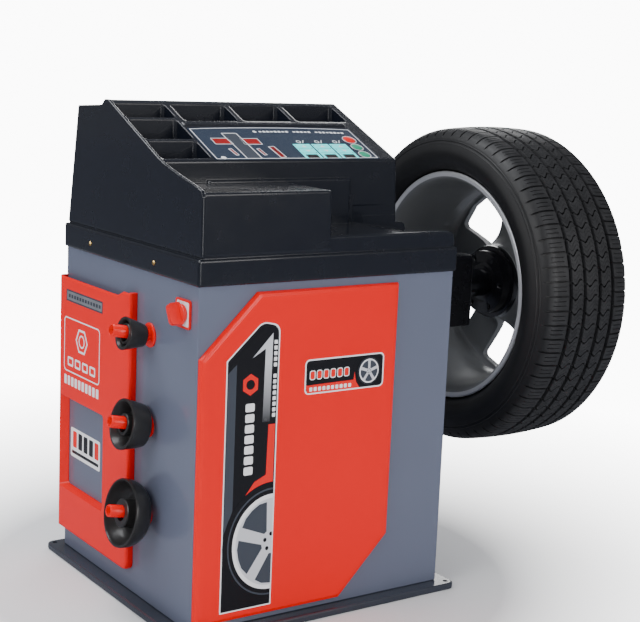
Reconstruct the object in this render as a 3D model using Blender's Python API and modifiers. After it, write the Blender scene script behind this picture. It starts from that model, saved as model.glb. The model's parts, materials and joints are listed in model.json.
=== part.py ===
"""A garage wheel balancer with a wheel on its spindle, as separate sub-parts.

The origin is the middle of the cabinet's footprint, on the floor. +X points along the
spindle to the wheel, +Y to the back, +Z up. All sizes are in metres.
"""

import math

import bmesh
import bpy
from mathutils import Matrix, Vector

# Driving dimensions
GAP = 0.0003
CABINET_X = 0.268          # half width
CABINET_Y = 0.2565         # half depth
PLATE_TOP = 0.0128
PLATE_X = 0.296
PLATE_Y = 0.2836
SHEET = 0.002              # cabinet sheet
CABINET_TOP = 0.6538
SKIRT_X = 0.2724
SKIRT_Y = 0.2609
SKIRT_BOTTOM = 0.6117
SKIRT_TOP = 0.6572
WALL = 0.0035              # moulded cover wall
DECK_TOP = 0.6865
TRAY_TOP = 0.766
CREST_TOP = 0.8977
SLOPE = 0.45               # rise of the console per unit of depth
CONSOLE_Y = -0.104         # front edge of the sloping console
CONSOLE_Z = 0.8058
SPINDLE_Z = 0.535
WHEEL_X = 0.5632           # middle plane of the mounted wheel
RIM_HALF = 0.1012
RIM_FLANGE_R = 0.235
TYRE_R = 0.327
HUB_FACE_X = 0.5983
SHAFT_END_X = 0.78
STUB_R = 0.014
PEG_Y = -0.090
PEG_Z = {"top": 0.502, "middle": 0.341, "low": 0.180}
PEG_TILT = math.radians(11)
PEG_R = 0.011
CONE_BORE_R = 0.0143
KNOB_Y = -0.209
KNOB_Z = 0.561
MOTOR_Z = 0.205
PULLEY_X = (-0.085, -0.062)
SPINDLE_PULLEY_R = 0.072
MOTOR_PULLEY_R = 0.024
WHEEL_STEPS = 32
ROUND_STEPS = 20

PARTS = "wheel_balancer"
CUTTERS = "wheel_balancer_cutters"

# Name: colour, roughness, metallic
MATERIALS = {
    "cabinet_paint": ((0.125, 0.142, 0.200), 0.25, 0.0),
    "plate_paint": ((0.030, 0.034, 0.050), 0.25, 0.0),
    "cover_plastic": ((0.022, 0.026, 0.040), 0.30, 0.0),
    "panel_film": ((0.016, 0.018, 0.025), 0.30, 0.0),
    "red_paint": ((0.700, 0.020, 0.015), 0.22, 0.0),
    "red_button": ((0.650, 0.012, 0.012), 0.30, 0.0),
    "green_button": ((0.040, 0.420, 0.080), 0.30, 0.0),
    "cyan_key": ((0.120, 0.560, 0.720), 0.35, 0.0),
    "black_key": ((0.012, 0.012, 0.014), 0.35, 0.0),
    "window_red": ((0.250, 0.010, 0.010), 0.10, 0.0),
    "white_plastic": ((0.750, 0.760, 0.780), 0.35, 0.0),
    "black_steel": ((0.010, 0.010, 0.012), 0.35, 0.2),
    "dark_cone": ((0.045, 0.047, 0.055), 0.45, 0.6),
    "steel": ((0.500, 0.500, 0.520), 0.30, 1.0),
    "brass": ((0.600, 0.420, 0.150), 0.35, 1.0),
    "alloy": ((0.330, 0.340, 0.360), 0.35, 0.8),
    "rubber": ((0.018, 0.018, 0.020), 0.70, 0.0),
    "motor_grey": ((0.160, 0.170, 0.180), 0.50, 0.3),
    "circuit_green": ((0.020, 0.150, 0.070), 0.45, 0.0),
}


def clear_scene():
    for obj in list(bpy.data.objects):
        bpy.data.objects.remove(obj, do_unlink=True)


def collection(name, hidden=False):
    group = bpy.data.collections.new(name)
    bpy.context.scene.collection.children.link(group)
    group.hide_render = hidden
    return group


def make_material(name):
    colour, roughness, metallic = MATERIALS[name]
    material = bpy.data.materials.new(name)
    material.use_nodes = True
    shader = material.node_tree.nodes["Principled BSDF"]
    shader.inputs["Base Color"].default_value = (*colour, 1.0)
    shader.inputs["Roughness"].default_value = roughness
    shader.inputs["Metallic"].default_value = metallic
    return material


# ---------------------------------------------------------------- shapes

def object_from(mesh_data, name):
    obj = bpy.data.objects.new(name, mesh_data)
    bpy.data.collections[CUTTERS].objects.link(obj)
    obj.hide_render = True
    obj.display_type = "WIRE"
    return obj


def box(name, low, high):
    """A box between two corners."""
    low, high = Vector(low), Vector(high)
    shape = bmesh.new()
    bmesh.ops.create_cube(shape, size=1.0)
    bmesh.ops.scale(shape, vec=high - low, verts=shape.verts)
    bmesh.ops.translate(shape, vec=(low + high) / 2, verts=shape.verts)
    data = bpy.data.meshes.new(name)
    shape.to_mesh(data)
    shape.free()
    return object_from(data, name)


def rod(name, radius, start, end, steps=ROUND_STEPS):
    """A straight cylinder between two points."""
    start, end = Vector(start), Vector(end)
    shape = bmesh.new()
    bmesh.ops.create_cone(
        shape, cap_ends=True, segments=steps, radius1=radius, radius2=radius, depth=(end - start).length
    )
    turn = (end - start).to_track_quat("Z", "Y").to_matrix().to_4x4()
    shape.transform(Matrix.Translation((start + end) / 2) @ turn)
    data = bpy.data.meshes.new(name)
    shape.to_mesh(data)
    shape.free()
    smooth(data)
    return object_from(data, name)


AXIS_FRAMES = {
    "X": Matrix(((0, 0, 1), (1, 0, 0), (0, 1, 0))),
    "Y": Matrix(((1, 0, 0), (0, 0, -1), (0, 1, 0))),
    "Z": Matrix.Identity(3),
}


def slab(name, outlines, axis, low, high):
    """A flat outline (and its holes) extruded along an axis: outlines are (y, z), (x, z) or (x, y)."""
    curve = bpy.data.curves.new(name, "CURVE")
    curve.dimensions = "2D"
    curve.fill_mode = "BOTH"
    curve.extrude = (high - low) / 2
    for outline in outlines:
        spline = curve.splines.new("POLY")
        spline.points.add(len(outline) - 1)
        for point, (across, up) in zip(spline.points, outline):
            point.co = (across, up, 0, 1)
        spline.use_cyclic_u = True
    drawn = object_from(curve, name + "_curve")
    frame = AXIS_FRAMES[axis]
    middle = frame @ Vector((0, 0, 1)) * ((low + high) / 2)
    if axis == "Y":
        middle = Vector((0, (low + high) / 2, 0))
    drawn.matrix_world = Matrix.Translation(middle) @ frame.to_4x4()
    return mesh_from_curve(drawn, name, len(outlines) == 1)


def mesh_from_curve(drawn, name, dissolve):
    """The evaluated curve as a closed mesh in world coordinates."""
    bpy.context.view_layer.update()
    evaluated = drawn.evaluated_get(bpy.context.evaluated_depsgraph_get())
    data = bpy.data.meshes.new_from_object(evaluated)
    shape = bmesh.new()
    shape.from_mesh(data)
    shape.transform(drawn.matrix_world)
    bmesh.ops.remove_doubles(shape, verts=shape.verts, dist=0.00001)
    if dissolve:
        bmesh.ops.dissolve_limit(
            shape, angle_limit=math.radians(0.5), verts=shape.verts, edges=shape.edges
        )
    bmesh.ops.recalc_face_normals(shape, faces=shape.faces)
    shape.to_mesh(data)
    shape.free()
    bpy.data.objects.remove(drawn, do_unlink=True)
    return object_from(data, name)


def turned(name, profile, steps=ROUND_STEPS, closed=False, place=None):
    """A profile of (radius, height) turned about local Z. It runs down its outer side."""
    data = bpy.data.meshes.new(name)
    last = len(profile) - 1
    edges = [(i, i + 1) for i in range(last)]
    if closed:
        edges.append((last, 0))
    data.from_pydata([(r, 0, h) for r, h in profile], edges, [])
    obj = object_from(data, name)
    obj.matrix_world = place or Matrix.Identity(4)
    screw = obj.modifiers.new("turn", "SCREW")
    screw.steps = steps
    screw.render_steps = steps
    screw.use_merge_vertices = True
    screw.merge_threshold = 0.00001
    screw.use_smooth_shade = True
    return obj


def along(direction, origin):
    """A frame whose Z runs along a direction, from an origin."""
    turn = Vector(direction).normalized().to_track_quat("Z", "Y").to_matrix().to_4x4()
    return Matrix.Translation(Vector(origin)) @ turn


def spindle_frame(height=SPINDLE_Z):
    """Local Z along +X and the origin on the spindle's axis, at x = 0."""
    return Matrix.Translation((0, 0, height)) @ Matrix.Rotation(math.pi / 2, 4, "Y")


def smooth(data):
    data.shade_smooth()
    data.set_sharp_from_angle(angle=math.radians(35))


def bevel(obj, width, segments=2, angle=30):
    edge = obj.modifiers.new("bevel", "BEVEL")
    edge.width = width
    edge.segments = segments
    edge.limit_method = "ANGLE"
    edge.angle_limit = math.radians(angle)
    return obj


def combine(target, operation, tools):
    for tool in tools:
        step = target.modifiers.new(operation.lower(), "BOOLEAN")
        step.operation = operation
        step.object = tool
        step.solver = "EXACT"
    return target


def cut(target, *tools):
    return combine(target, "DIFFERENCE", tools)


def join(target, *tools):
    return combine(target, "UNION", tools)


def part(obj, material, origin=None):
    """Moves a finished solid to the parts collection, with its own material and origin."""
    group = bpy.data.collections[CUTTERS]
    group.objects.unlink(obj)
    bpy.data.collections[PARTS].objects.link(obj)
    obj.hide_render = False
    obj.display_type = "TEXTURED"
    obj.data.materials.clear()
    obj.data.materials.append(make_material(material))
    if origin is not None:
        obj.data.transform(Matrix.Translation(-Vector(origin)))
        obj.location = origin
    return obj


def corner_arc(corner, before, after, radius, steps):
    """Points of the round that replaces one corner of an outline."""
    corner, before, after = Vector(corner), Vector(before), Vector(after)
    back = (before - corner).normalized()
    ahead = (after - corner).normalized()
    half = back.angle(ahead) / 2
    reach = radius / math.tan(half)
    centre = corner + (back + ahead).normalized() * (radius / math.sin(half))
    first = corner + back * reach - centre
    last = corner + ahead * reach - centre
    sweep = first.angle_signed(last)
    points = []
    for i in range(steps + 1):
        arm = first.copy()
        arm.rotate(Matrix.Rotation(-sweep * i / steps, 2))
        points.append(tuple(centre + arm))
    return points


def rounded(corners, steps=3):
    """An outline from (x, y, radius) corners, with each radius made an arc."""
    points = []
    for i, (x, y, radius) in enumerate(corners):
        if radius == 0:
            points.append((x, y))
            continue
        before = corners[i - 1][:2]
        after = corners[(i + 1) % len(corners)][:2]
        points += corner_arc((x, y), before, after, radius, steps)
    return points


def rounded_rectangle(x0, y0, x1, y1, radius, steps=3):
    return rounded([(x0, y0, radius), (x1, y0, radius), (x1, y1, radius), (x0, y1, radius)], steps)


def circle(x, y, radius, steps=16):
    turns = [2 * math.pi * i / steps for i in range(steps)]
    return [(x + radius * math.cos(a), y + radius * math.sin(a)) for a in turns]


# ---------------------------------------------------------------- cabinet

SCREW_Z = 0.631
SCREW_PLACES = [(side, y) for side in (-1, 1) for y in (-0.1055, 0.1455)]


def base_plate():
    outline = rounded_rectangle(-PLATE_X, -PLATE_Y, PLATE_X, PLATE_Y, 0.014)
    plate = bevel(slab("base_plate", [outline], "Z", 0, PLATE_TOP), 0.003, 2, 60)
    hole_x = CABINET_X + 0.014
    hole_y = CABINET_Y + 0.0135
    for i, (sx, sy) in enumerate(((1, 1), (-1, 1), (-1, -1), (1, -1))):
        at = (sx * hole_x, sy * hole_y)
        cut(plate, rod(f"anchor_hole_{i}", 0.005, (*at, -0.01), (*at, 0.03), 8))
    part(plate, "plate_paint")


def cabinet_shell():
    low = PLATE_TOP + GAP
    shell = box("cabinet_shell", (-CABINET_X, -CABINET_Y, low), (CABINET_X, CABINET_Y, CABINET_TOP))
    bevel(shell, 0.0015, 1)
    inside_x, inside_y = CABINET_X - SHEET, CABINET_Y - SHEET
    cut(shell, box("cabinet_inside", (-inside_x, -inside_y, low + SHEET), (inside_x, inside_y, 0.7)))
    foot = 0.025
    foot_x, foot_y = inside_x - foot, inside_y - foot
    cut(shell, box("cabinet_foot", (-foot_x, -foot_y, 0), (foot_x, foot_y, 0.05)))
    cut(shell, box("housing_hole", (0.20, -0.0815, 0.461), (0.35, 0.0815, 0.6095)))
    cut(shell, box("service_hole", (-0.19, 0.20, 0.11), (0.19, 0.30, 0.54)))
    cut(shell, rod("switch_hole", 0.012, (-0.30, KNOB_Y, KNOB_Z), (-0.24, KNOB_Y, KNOB_Z), 16))
    cut(shell, rod("gland_hole", 0.0095, (-0.235, 0.22, 0.065), (-0.235, 0.28, 0.065), 16))
    for side, y in SCREW_PLACES:
        cut(shell, rod("cabinet_screw_hole", 0.0026, (side * 0.25, y, SCREW_Z), (side * 0.29, y, SCREW_Z), 8))
    part(shell, "cabinet_paint")


def cover_screws():
    """Round-headed screws that hold the cover's skirt to the cabinet."""
    head, neck, tip = 0.0046, 0.0021, -0.0085
    for side, y in SCREW_PLACES:
        place = along((side, 0, 0), (side * (SKIRT_X + GAP), y, SCREW_Z))
        profile = [(0, 0.0026), (0.0028, 0.0021), (head, 0), (neck, 0), (neck, tip), (0, tip)]
        where = ("left" if side < 0 else "right") + ("_front" if y < 0 else "_rear")
        part(turned(f"cover_screw_{where}", profile, 8, place=place), "brass")


def rear_service_panel():
    """A louvred panel over the opening in the cabinet's back."""
    low, high = (-0.21, 0.09), (0.21, 0.56)
    panel = slab("rear_service_panel", [rounded_rectangle(*low, *high, 0.012)], "Y",
                 CABINET_Y + GAP, CABINET_Y + GAP + 0.003)
    bevel(panel, 0.0008, 1, 60)
    slots, pitch = 7, 0.018
    for i in range(slots):
        z = 0.14 + pitch * i
        cut(panel, box(f"vent_slot_{i}", (-0.09, 0.24, z), (0.09, 0.28, z + 0.005)))
    part(panel, "cabinet_paint")


def mains_gland():
    place = along((0, 1, 0), (-0.235, CABINET_Y, 0.065))
    out = GAP
    profile = [
        (0.0035, 0.018 + out), (0.0080, 0.018 + out), (0.0110, 0.008 + out), (0.0135, 0.008 + out),
        (0.0135, out), (0.0090, out), (0.0090, -0.014), (0.0035, -0.014),
    ]
    part(turned("mains_gland", profile, 16, closed=True, place=place), "black_key")


# ---------------------------------------------------------------- moulded cover

def console_top(y):
    return CONSOLE_Z + SLOPE * (y - CONSOLE_Y)


LEFT_WALL, LEFT_DRAFT = -0.267, 0.013
RIGHT_WALL, RIGHT_DRAFT = 0.2435, -0.035


def draft(obj, left_inset=0.0, right_inset=0.0):
    """Slopes a slab's two end faces like the cover's side walls."""
    for vertex in obj.data.vertices:
        rise = vertex.co.z - SKIRT_TOP
        if vertex.co.x < 0:
            vertex.co.x = LEFT_WALL + left_inset + LEFT_DRAFT * rise
        else:
            vertex.co.x = RIGHT_WALL - right_inset + RIGHT_DRAFT * rise
    return obj


FRONT_RIM = [
    (-0.096, 0.8103), (-0.120, 0.8015), (-0.148, 0.7940), (-0.173, 0.7878), (-0.205, 0.7802),
    (-0.235, 0.7735), (-0.2480, 0.7690),
]
POCKET_LEFT = -0.2585
COLUMN_RIGHT = -0.1600
TOP_POCKETS = [(POCKET_LEFT, -0.1565), (-0.1450, -0.0300), (-0.0195, 0.0890), (0.1000, 0.2175)]
TOP_POCKET_Y = (0.0290, 0.0885)


def pocket_boxes():
    """Corners of every open-topped pocket in the cover: name, low corner, high corner."""
    boxes = []
    y0, y1 = TOP_POCKET_Y
    above = 0.95
    for i, (x0, x1) in enumerate(TOP_POCKETS):
        boxes.append((f"top_pocket_{i}", (x0, y0 + (0.010 if i == 0 else 0), 0.839), (x1, y1, above)))
    boxes.append(("left_pocket_rear", (POCKET_LEFT, -0.0345, 0.808), (COLUMN_RIGHT, 0.0325, above)))
    boxes.append(("left_pocket_front", (POCKET_LEFT, -0.0985, 0.776), (COLUMN_RIGHT, -0.0410, above)))
    boxes.append(("tray_pocket_rear", (-0.254, -0.223, 0.757), (-0.155, -0.195, 0.775)))
    boxes.append(("tray_pocket_front", (-0.254, -0.249, 0.757), (-0.155, -0.227, 0.775)))
    return boxes


def console_outline(inset, bottom):
    """Side outline of the console: front wall, slope, crest, rear shelf and rear wall."""
    slope_drop = inset * math.hypot(1, SLOPE)
    front = CONSOLE_Y - 0.0025 + inset
    crest = CREST_TOP - inset
    crest_y = CONSOLE_Y + (crest + slope_drop - CONSOLE_Z) / SLOPE
    return [
        (front - 0.003, bottom), (front, console_top(front) - slope_drop), (crest_y, crest),
        (0.1130 - inset / 2, crest), (0.1260 - inset / 2, 0.887 - inset), (0.2235 - inset, 0.881 - inset),
        (0.2552 - inset, bottom),
    ]


def console_frame():
    """X to the right, Y up the slope, Z out of the console, from its front edge."""
    tilt = math.atan(SLOPE)
    return Matrix.Translation((0, CONSOLE_Y, CONSOLE_Z)) @ Matrix.Rotation(tilt, 4, "X")


def on_console(obj):
    obj.data.transform(console_frame())
    return obj


def left_wall():
    """The cover's left side in one piece: a rim that stands a little proud and runs forward round the tray."""
    proud, thickness = 0.0008, 0.0075
    front = [(-0.2592, 0.660), (-0.2554, 0.760)]
    outline = front + FRONT_RIM[::-1] + console_outline(-proud, 0.66)[2:]
    wall = slab("cover_left_wall", [outline], "X", -0.26, -0.25)
    for vertex in wall.data.vertices:
        inward = thickness if vertex.co.x > -0.255 else 0
        vertex.co.x = LEFT_WALL + LEFT_DRAFT * (vertex.co.z - SKIRT_TOP) + inward
    return bevel(wall, 0.002, 2, 40)


def cover_outside():
    console = draft(slab("top_cover", [console_outline(0, 0.66)], "X", -0.2, 0.2), 0.003)
    bevel(console, 0.003, 2)
    tray_outline = [(-0.2590, 0.66), (-0.2549, TRAY_TOP), (-0.09, TRAY_TOP), (-0.09, 0.66)]
    tray = slab("cover_tray", [tray_outline], "X", -0.2, -0.01)
    for vertex in tray.data.vertices:
        if vertex.co.x < -0.1:
            vertex.co.x = LEFT_WALL + LEFT_DRAFT * (vertex.co.z - SKIRT_TOP) + 0.003
    bevel(tray, 0.004, 2)
    deck_outline = [
        (-0.2655, 0.65), (-0.2655, 0.672), (-0.262, DECK_TOP), (0.2445, DECK_TOP), (0.2565, 0.6852),
        (0.264, 0.6815), (0.2665, 0.672), (0.2670, 0.65),
    ]
    deck = bevel(slab("cover_deck", [deck_outline], "Y", -0.2569, 0.2555), 0.0025, 1, 60)
    skirt = box("cover_skirt", (-SKIRT_X, -SKIRT_Y, SKIRT_BOTTOM), (SKIRT_X, SKIRT_Y, SKIRT_TOP))
    bevel(skirt, 0.004, 2)
    plinth_face = rounded_rectangle(-0.175, -0.1162, 0.131, -0.09, 0.008)
    plinth = slab("cover_plinth", [plinth_face], "Z", 0.67, 0.771)
    bevel(plinth, 0.002, 1, 60)
    band = on_console(box("cover_band", (-0.1545, 0.1275, -0.004), (0.2015, 0.1400, 0.0018)))
    bevel(band, 0.0015, 2)
    join(console, tray, left_wall(), deck, skirt, plinth, band)
    return console


def cover_inside():
    """The room under the cover: open below, and a wall's thickness inside every outer face."""
    room_x, room_y = SKIRT_X - WALL, SKIRT_Y - WALL
    room = box("cover_room", (-room_x, -room_y, 0.60), (room_x, room_y, 0.6540))
    lower = draft(slab("cover_room_lower", [[(-0.103, 0.64), (-0.103, 0.775), (0.2345, 0.775), (0.2495, 0.64)]],
                       "X", -0.2, 0.2), WALL, WALL + 0.002)
    upper = draft(slab("cover_room_upper", [console_outline(WALL, 0.70)], "X", -0.2, 0.2), WALL + 0.001, WALL)
    under_deck = box("cover_room_deck", (-0.261, -0.2530, 0.64), (0.135, 0.25, DECK_TOP - WALL))
    under_channel = box("cover_room_channel", (0.12, -0.2522, 0.63), (0.262, 0.2485, 0.6655))
    under_tray = box("cover_room_tray", (-0.2565, -0.2510, 0.64), (-0.0135, -0.10, TRAY_TOP - WALL))
    join(room, lower, upper, under_deck, under_channel, under_tray)
    for name, low, high in pocket_boxes():
        grown_low = [c - WALL for c in low]
        grown_high = [high[0] + WALL, high[1] + WALL, high[2]]
        cut(room, box(name + "_wall", grown_low, grown_high))
    return room


def top_cover():
    cover = cover_outside()
    cut(cover, cover_inside())
    for name, low, high in pocket_boxes():
        cut(cover, bevel(box(name, low, high), 0.005, 1))
    channel = [(0.14, DECK_TOP + 0.0005), (0.246, 0.672), (0.30, 0.6646), (0.30, 0.72), (0.14, 0.72)]
    cut(cover, slab("gauge_channel", [channel], "Y", -0.244, -0.1075))
    cut(cover, on_console(slab("panel_recess", [panel_outline(GAP)], "Z", -0.0016 - GAP, 0.01)))
    cut(cover, on_console(box("panel_window", (-0.146, 0.0035, -0.02), (0.193, 0.110, 0.01))))
    for side, y in SCREW_PLACES:
        cut(cover, rod("cover_screw_hole", 0.0026, (side * 0.26, y, SCREW_Z), (side * 0.29, y, SCREW_Z), 8))
    part(cover, "cover_plastic")


# ---------------------------------------------------------------- display and keys

PANEL_LEFT, PANEL_RIGHT = -0.1545, 0.2015
PANEL_TOP = 0.0004
WINDOWS = {"left_digit_window": (-0.107, 0.068), "right_digit_window": (-0.047, 0.067)}
WINDOW_SIZE = (0.036, 0.0205)
BUTTON_STEPS = 16
ROUND_BUTTONS = {
    "stop_button": (0.176, 0.0737, 0.0122, "red_button"),
    "start_button": (0.176, 0.0448, 0.0105, "green_button"),
    "program_button": (0.176, 0.0165, 0.0105, "green_button"),
}
KEY_COLUMNS = {"distance": 0.0555, "width": 0.0965, "diameter": 0.1375}
KEY_ROWS = {"up": (0.0460, 0.0130, "cyan_key"), "down": (0.0290, 0.0130, "cyan_key"),
            "function": (0.0105, 0.0120, "black_key")}
KEY_WIDTH = {"up": 0.032, "down": 0.032, "function": 0.025}


def panel_outline(grow=0.0):
    """The display panel with its slightly bowed top edge."""
    left, right = PANEL_LEFT - grow, PANEL_RIGHT + grow
    side, bow, steps = 0.117, 0.006, 8
    middle, half = (left + right) / 2, (right - left) / 2
    top = []
    for i in range(1, steps):
        across = 1 - 2 * i / steps
        top.append((middle + half * across, side + bow * (1 - across * across) + grow))
    ends = rounded([(left, 0.0008 - grow, 0.003), (right, 0.0008 - grow, 0.003)] + [(right, side + grow, 0.0)]
                   + [(left, side + grow, 0.0)], 2)
    return ends[:-1] + top + ends[-1:]


def keys():
    """Name, middle x, middle up the slope, width, height and material of every keypad key."""
    for column, x in KEY_COLUMNS.items():
        for row, (up, height, material) in KEY_ROWS.items():
            yield f"key_{column}_{row}", x, up, KEY_WIDTH[row], height, material


def display_panel():
    holes = [panel_outline()]
    for x, up in WINDOWS.values():
        width, height = WINDOW_SIZE
        low, high = (x - width / 2, up - height / 2), (x + width / 2, up + height / 2)
        holes.append(rounded_rectangle(*low, *high, 0.001, 1))
    for x, up, radius, _ in ROUND_BUTTONS.values():
        holes.append(circle(x, up, radius + 2 * GAP, BUTTON_STEPS))
    for _, x, up, width, height, _ in keys():
        w, h = width / 2 + GAP, height / 2 + GAP
        holes.append(rounded_rectangle(x - w, up - h, x + w, up + h, 0.002, 1))
    part(on_console(slab("display_panel", holes, "Z", -0.0016, PANEL_TOP)), "panel_film")


def digit_windows():
    for name, (x, up) in WINDOWS.items():
        w, h = WINDOW_SIZE[0] / 2 - GAP, WINDOW_SIZE[1] / 2 - GAP
        lens = slab(name, [rounded_rectangle(x - w, up - h, x + w, up + h, 0.001, 1)], "Z", -0.0040, 0.0002)
        part(on_console(lens), "window_red")


def console_point(x, up, out=0.0):
    return console_frame() @ Vector((x, up, out))


def key_caps():
    foot, head = -0.0042, 0.0016
    for name, x, up, width, height, material in keys():
        w, h = width / 2 - GAP, height / 2 - GAP
        cap = slab(name, [rounded_rectangle(x - w, up - h, x + w, up + h, 0.002, 1)], "Z", foot, head)
        part(bevel(on_console(cap), 0.0005, 1, 60), material, console_point(x, up))
    for name, (x, up, radius, material) in ROUND_BUTTONS.items():
        profile = [(0, 0.0026), (radius - 0.003, 0.0023), (radius, 0.0010), (radius, foot), (0, foot)]
        place = console_frame() @ Matrix.Translation((x, up, 0))
        part(turned(name, profile, BUTTON_STEPS, place=place), material)


def control_board():
    """The circuit board under the keys, with a switch below each of them."""
    board = on_console(box("control_board", (-0.140, 0.010, -0.0105), (0.187, 0.106, -0.0089)))
    switch = 0.003
    spots = [(x, up) for _, x, up, _, _, _ in keys()]
    spots += [(x, up) for x, up, _, _ in ROUND_BUTTONS.values()]
    for i, (x, up) in enumerate(spots):
        low, high = (x - switch, up - switch, -0.0095), (x + switch, up + switch, -0.0054)
        join(board, on_console(box(f"tact_switch_{i}", low, high)))
    for i, (x, up) in enumerate(WINDOWS.values()):
        low, high = (x - 0.016, up - 0.009, -0.0095), (x + 0.016, up + 0.009, -0.0046)
        join(board, on_console(box(f"digit_block_{i}", low, high)))
    part(board, "circuit_green")


# ---------------------------------------------------------------- red panels

def bevel_chosen(obj, width, chosen, segments=2):
    """Bevels only the edges whose two ends pass a test."""
    shape = bmesh.new()
    shape.from_mesh(obj.data)
    weights = shape.edges.layers.float.new("bevel_weight_edge")
    for edge in shape.edges:
        if chosen(edge.verts[0].co, edge.verts[1].co):
            edge[weights] = 1.0
    shape.to_mesh(obj.data)
    shape.free()
    bevel(obj, width, segments).modifiers["bevel"].limit_method = "WEIGHT"
    return obj


def front_panel():
    """A thick red panel with two cut corners, a sloping border and one upright crease."""
    back, face = -CABINET_Y - GAP, -0.2667
    left, right, bottom, top = -0.2665, 0.139, 0.024, 0.5985
    crease_top, crease_bottom, fold = -0.093, -0.081, 0.010
    outline = [
        (left, bottom), (crease_bottom, bottom), (0.034, bottom), (right, 0.130), (right, top),
        (crease_top, top), (-0.157, top), (left, 0.491),
    ]
    panel = slab("front_panel", [outline], "Y", face, back)
    shape = bmesh.new()
    shape.from_mesh(panel.data)
    front = [v for v in shape.verts if v.co.y < face + GAP]
    ends = []
    for vertex in front:
        share = (vertex.co.z - bottom) / (top - bottom)
        away = vertex.co.x - (crease_bottom + (crease_top - crease_bottom) * share)
        vertex.co.y = face - 0.002 + fold * abs(away)
        if abs(away) < GAP:
            ends.append(vertex)
    bmesh.ops.connect_verts(shape, verts=ends)
    shape.to_mesh(panel.data)
    shape.free()
    on_face = back - 0.005
    bevel_chosen(panel, 0.008, lambda a, b: max(a.y, b.y) < on_face and not (
        abs(a.x - b.x) < 0.02 and abs(a.z - b.z) > 0.5 and max(a.x, b.x) < 0 and min(a.x, b.x) > -0.2))
    part(panel, "red_paint")


PANEL_X = -0.283
WINDOW_LOW, WINDOW_HIGH = (0.060, 0.138), (0.252, 0.323)


def side_outline(inset):
    """The left panel's outline in y and z, with its dipped top edge."""
    front, rear, low = -0.040 + inset, CABINET_Y - inset, 0.055 + inset
    dip, rise = 0.5575 - inset, 0.5675 - inset
    return rounded([(front, low, 0.014), (rear, low, 0), (rear, dip, 0), (0.012, dip, 0.02),
                    (-0.010, rise, 0.02), (front, rise, 0)], 3)


def side_panel():
    """A hollow red panel that stands off the cabinet, open along its top, with a deep window."""
    wall, back = 0.003, -CABINET_X - GAP
    panel = slab("side_panel", [side_outline(0)], "X", PANEL_X, back)
    bevel_chosen(panel, 0.005, lambda a, b: max(a.x, b.x) < PANEL_X + GAP)
    hollow_outline = side_outline(wall)
    hollow = slab("side_panel_hollow", [hollow_outline], "X", PANEL_X + wall, back + 0.01)
    mouth = box("side_panel_mouth", (PANEL_X + wall, -0.030, 0.50), (back + 0.01, 0.250, 0.60))
    y0, z0 = WINDOW_LOW
    y1, z1 = WINDOW_HIGH
    frame = box("side_window_frame", (PANEL_X - 0.01, y0 - wall, z0 - wall), (-0.25, y1 + 0.02, z1 + wall))
    join(hollow, mouth)
    cut(hollow, frame)
    cut(panel, hollow)
    outline = rounded_rectangle(y0, z0, y1, z1, 0.006)
    opening = slab("side_window", [outline], "X", PANEL_X - 0.002, back + 0.002)
    for vertex in opening.data.vertices:
        if vertex.co.x > PANEL_X:
            vertex.co.y -= 0.016 if vertex.co.y > 0.2 else 0
            vertex.co.z += 0.0065 if vertex.co.z < 0.2 else 0
    cut(panel, opening)
    part(panel, "red_paint")


# ---------------------------------------------------------------- pegs and spare cones

PEG_AXIS = Vector((-math.cos(PEG_TILT), 0, math.sin(PEG_TILT)))
CONE_SAG = CONE_BORE_R - PEG_R - GAP
# Small radius, large radius, hub radius and length of each spare cone
SPARE_CONES = {
    "small": ("top", 0.0190, 0.0292, 0.0180),
    "medium": ("middle", 0.0375, 0.0452, 0.0193),
    "large": ("low", 0.0420, 0.0610, 0.0256),
}
CONE_START, CONE_LENGTH = 0.0130, 0.0400


def cone_pegs():
    """Three tilted red pegs on round feet."""
    for level, z in PEG_Z.items():
        foot = Vector((-CABINET_X - GAP, PEG_Y, z))
        peg = rod(f"cone_peg_{level}", PEG_R, foot - PEG_AXIS * 0.012, foot + PEG_AXIS * 0.077, 16)
        bevel(peg, 0.0015, 1, 60)
        join(peg, rod("peg_foot", 0.0218, foot, foot - Vector((0.003, 0, 0)), 20))
        cut(peg, box("peg_trim", (foot.x, PEG_Y - 0.03, z - 0.04), (foot.x + 0.03, PEG_Y + 0.03, z + 0.04)))
        part(peg, "red_paint")


def cone_profile(small, large, hub, length):
    """Bowl-backed cone: its outer side, its back, its bore, its hub and its hollow."""
    wall, floor = 0.005, 0.009
    points = [(large, length), (large, length - 0.003)]
    for i in range(1, 5):
        turn = i / 4 * math.pi / 2
        points.append((small + (large - small) * math.cos(turn), (length - 0.003) * (1 - math.sin(turn))))
    points += [(CONE_BORE_R, 0), (CONE_BORE_R, length - 0.002), (hub, length - 0.002), (hub, floor)]
    points += [(max(small - wall, hub + 0.0005), floor), (large - wall, length - 0.006), (large - wall + 0.001, length)]
    return points


def spare_cones():
    for size, (level, small, large, hub) in SPARE_CONES.items():
        on_peg = Vector((-CABINET_X - GAP, PEG_Y, PEG_Z[level])) + PEG_AXIS * CONE_START
        down = Vector((-math.sin(PEG_TILT), 0, -math.cos(PEG_TILT)))
        place = along(PEG_AXIS, on_peg + down * CONE_SAG)
        profile = cone_profile(small, large, hub, CONE_LENGTH)
        if large - small < 0.015:
            profile = [(large, CONE_LENGTH), (small, 0), (CONE_BORE_R, 0), (CONE_BORE_R, CONE_LENGTH - 0.003),
                       (hub, CONE_LENGTH - 0.003), (hub, 0.012), (max(small - 0.006, hub + 0.002), 0.012),
                       (large - 0.005, CONE_LENGTH)]
        part(turned(f"spare_cone_{size}", profile, closed=True, place=place), "dark_cone")


# ---------------------------------------------------------------- mains switch

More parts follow.
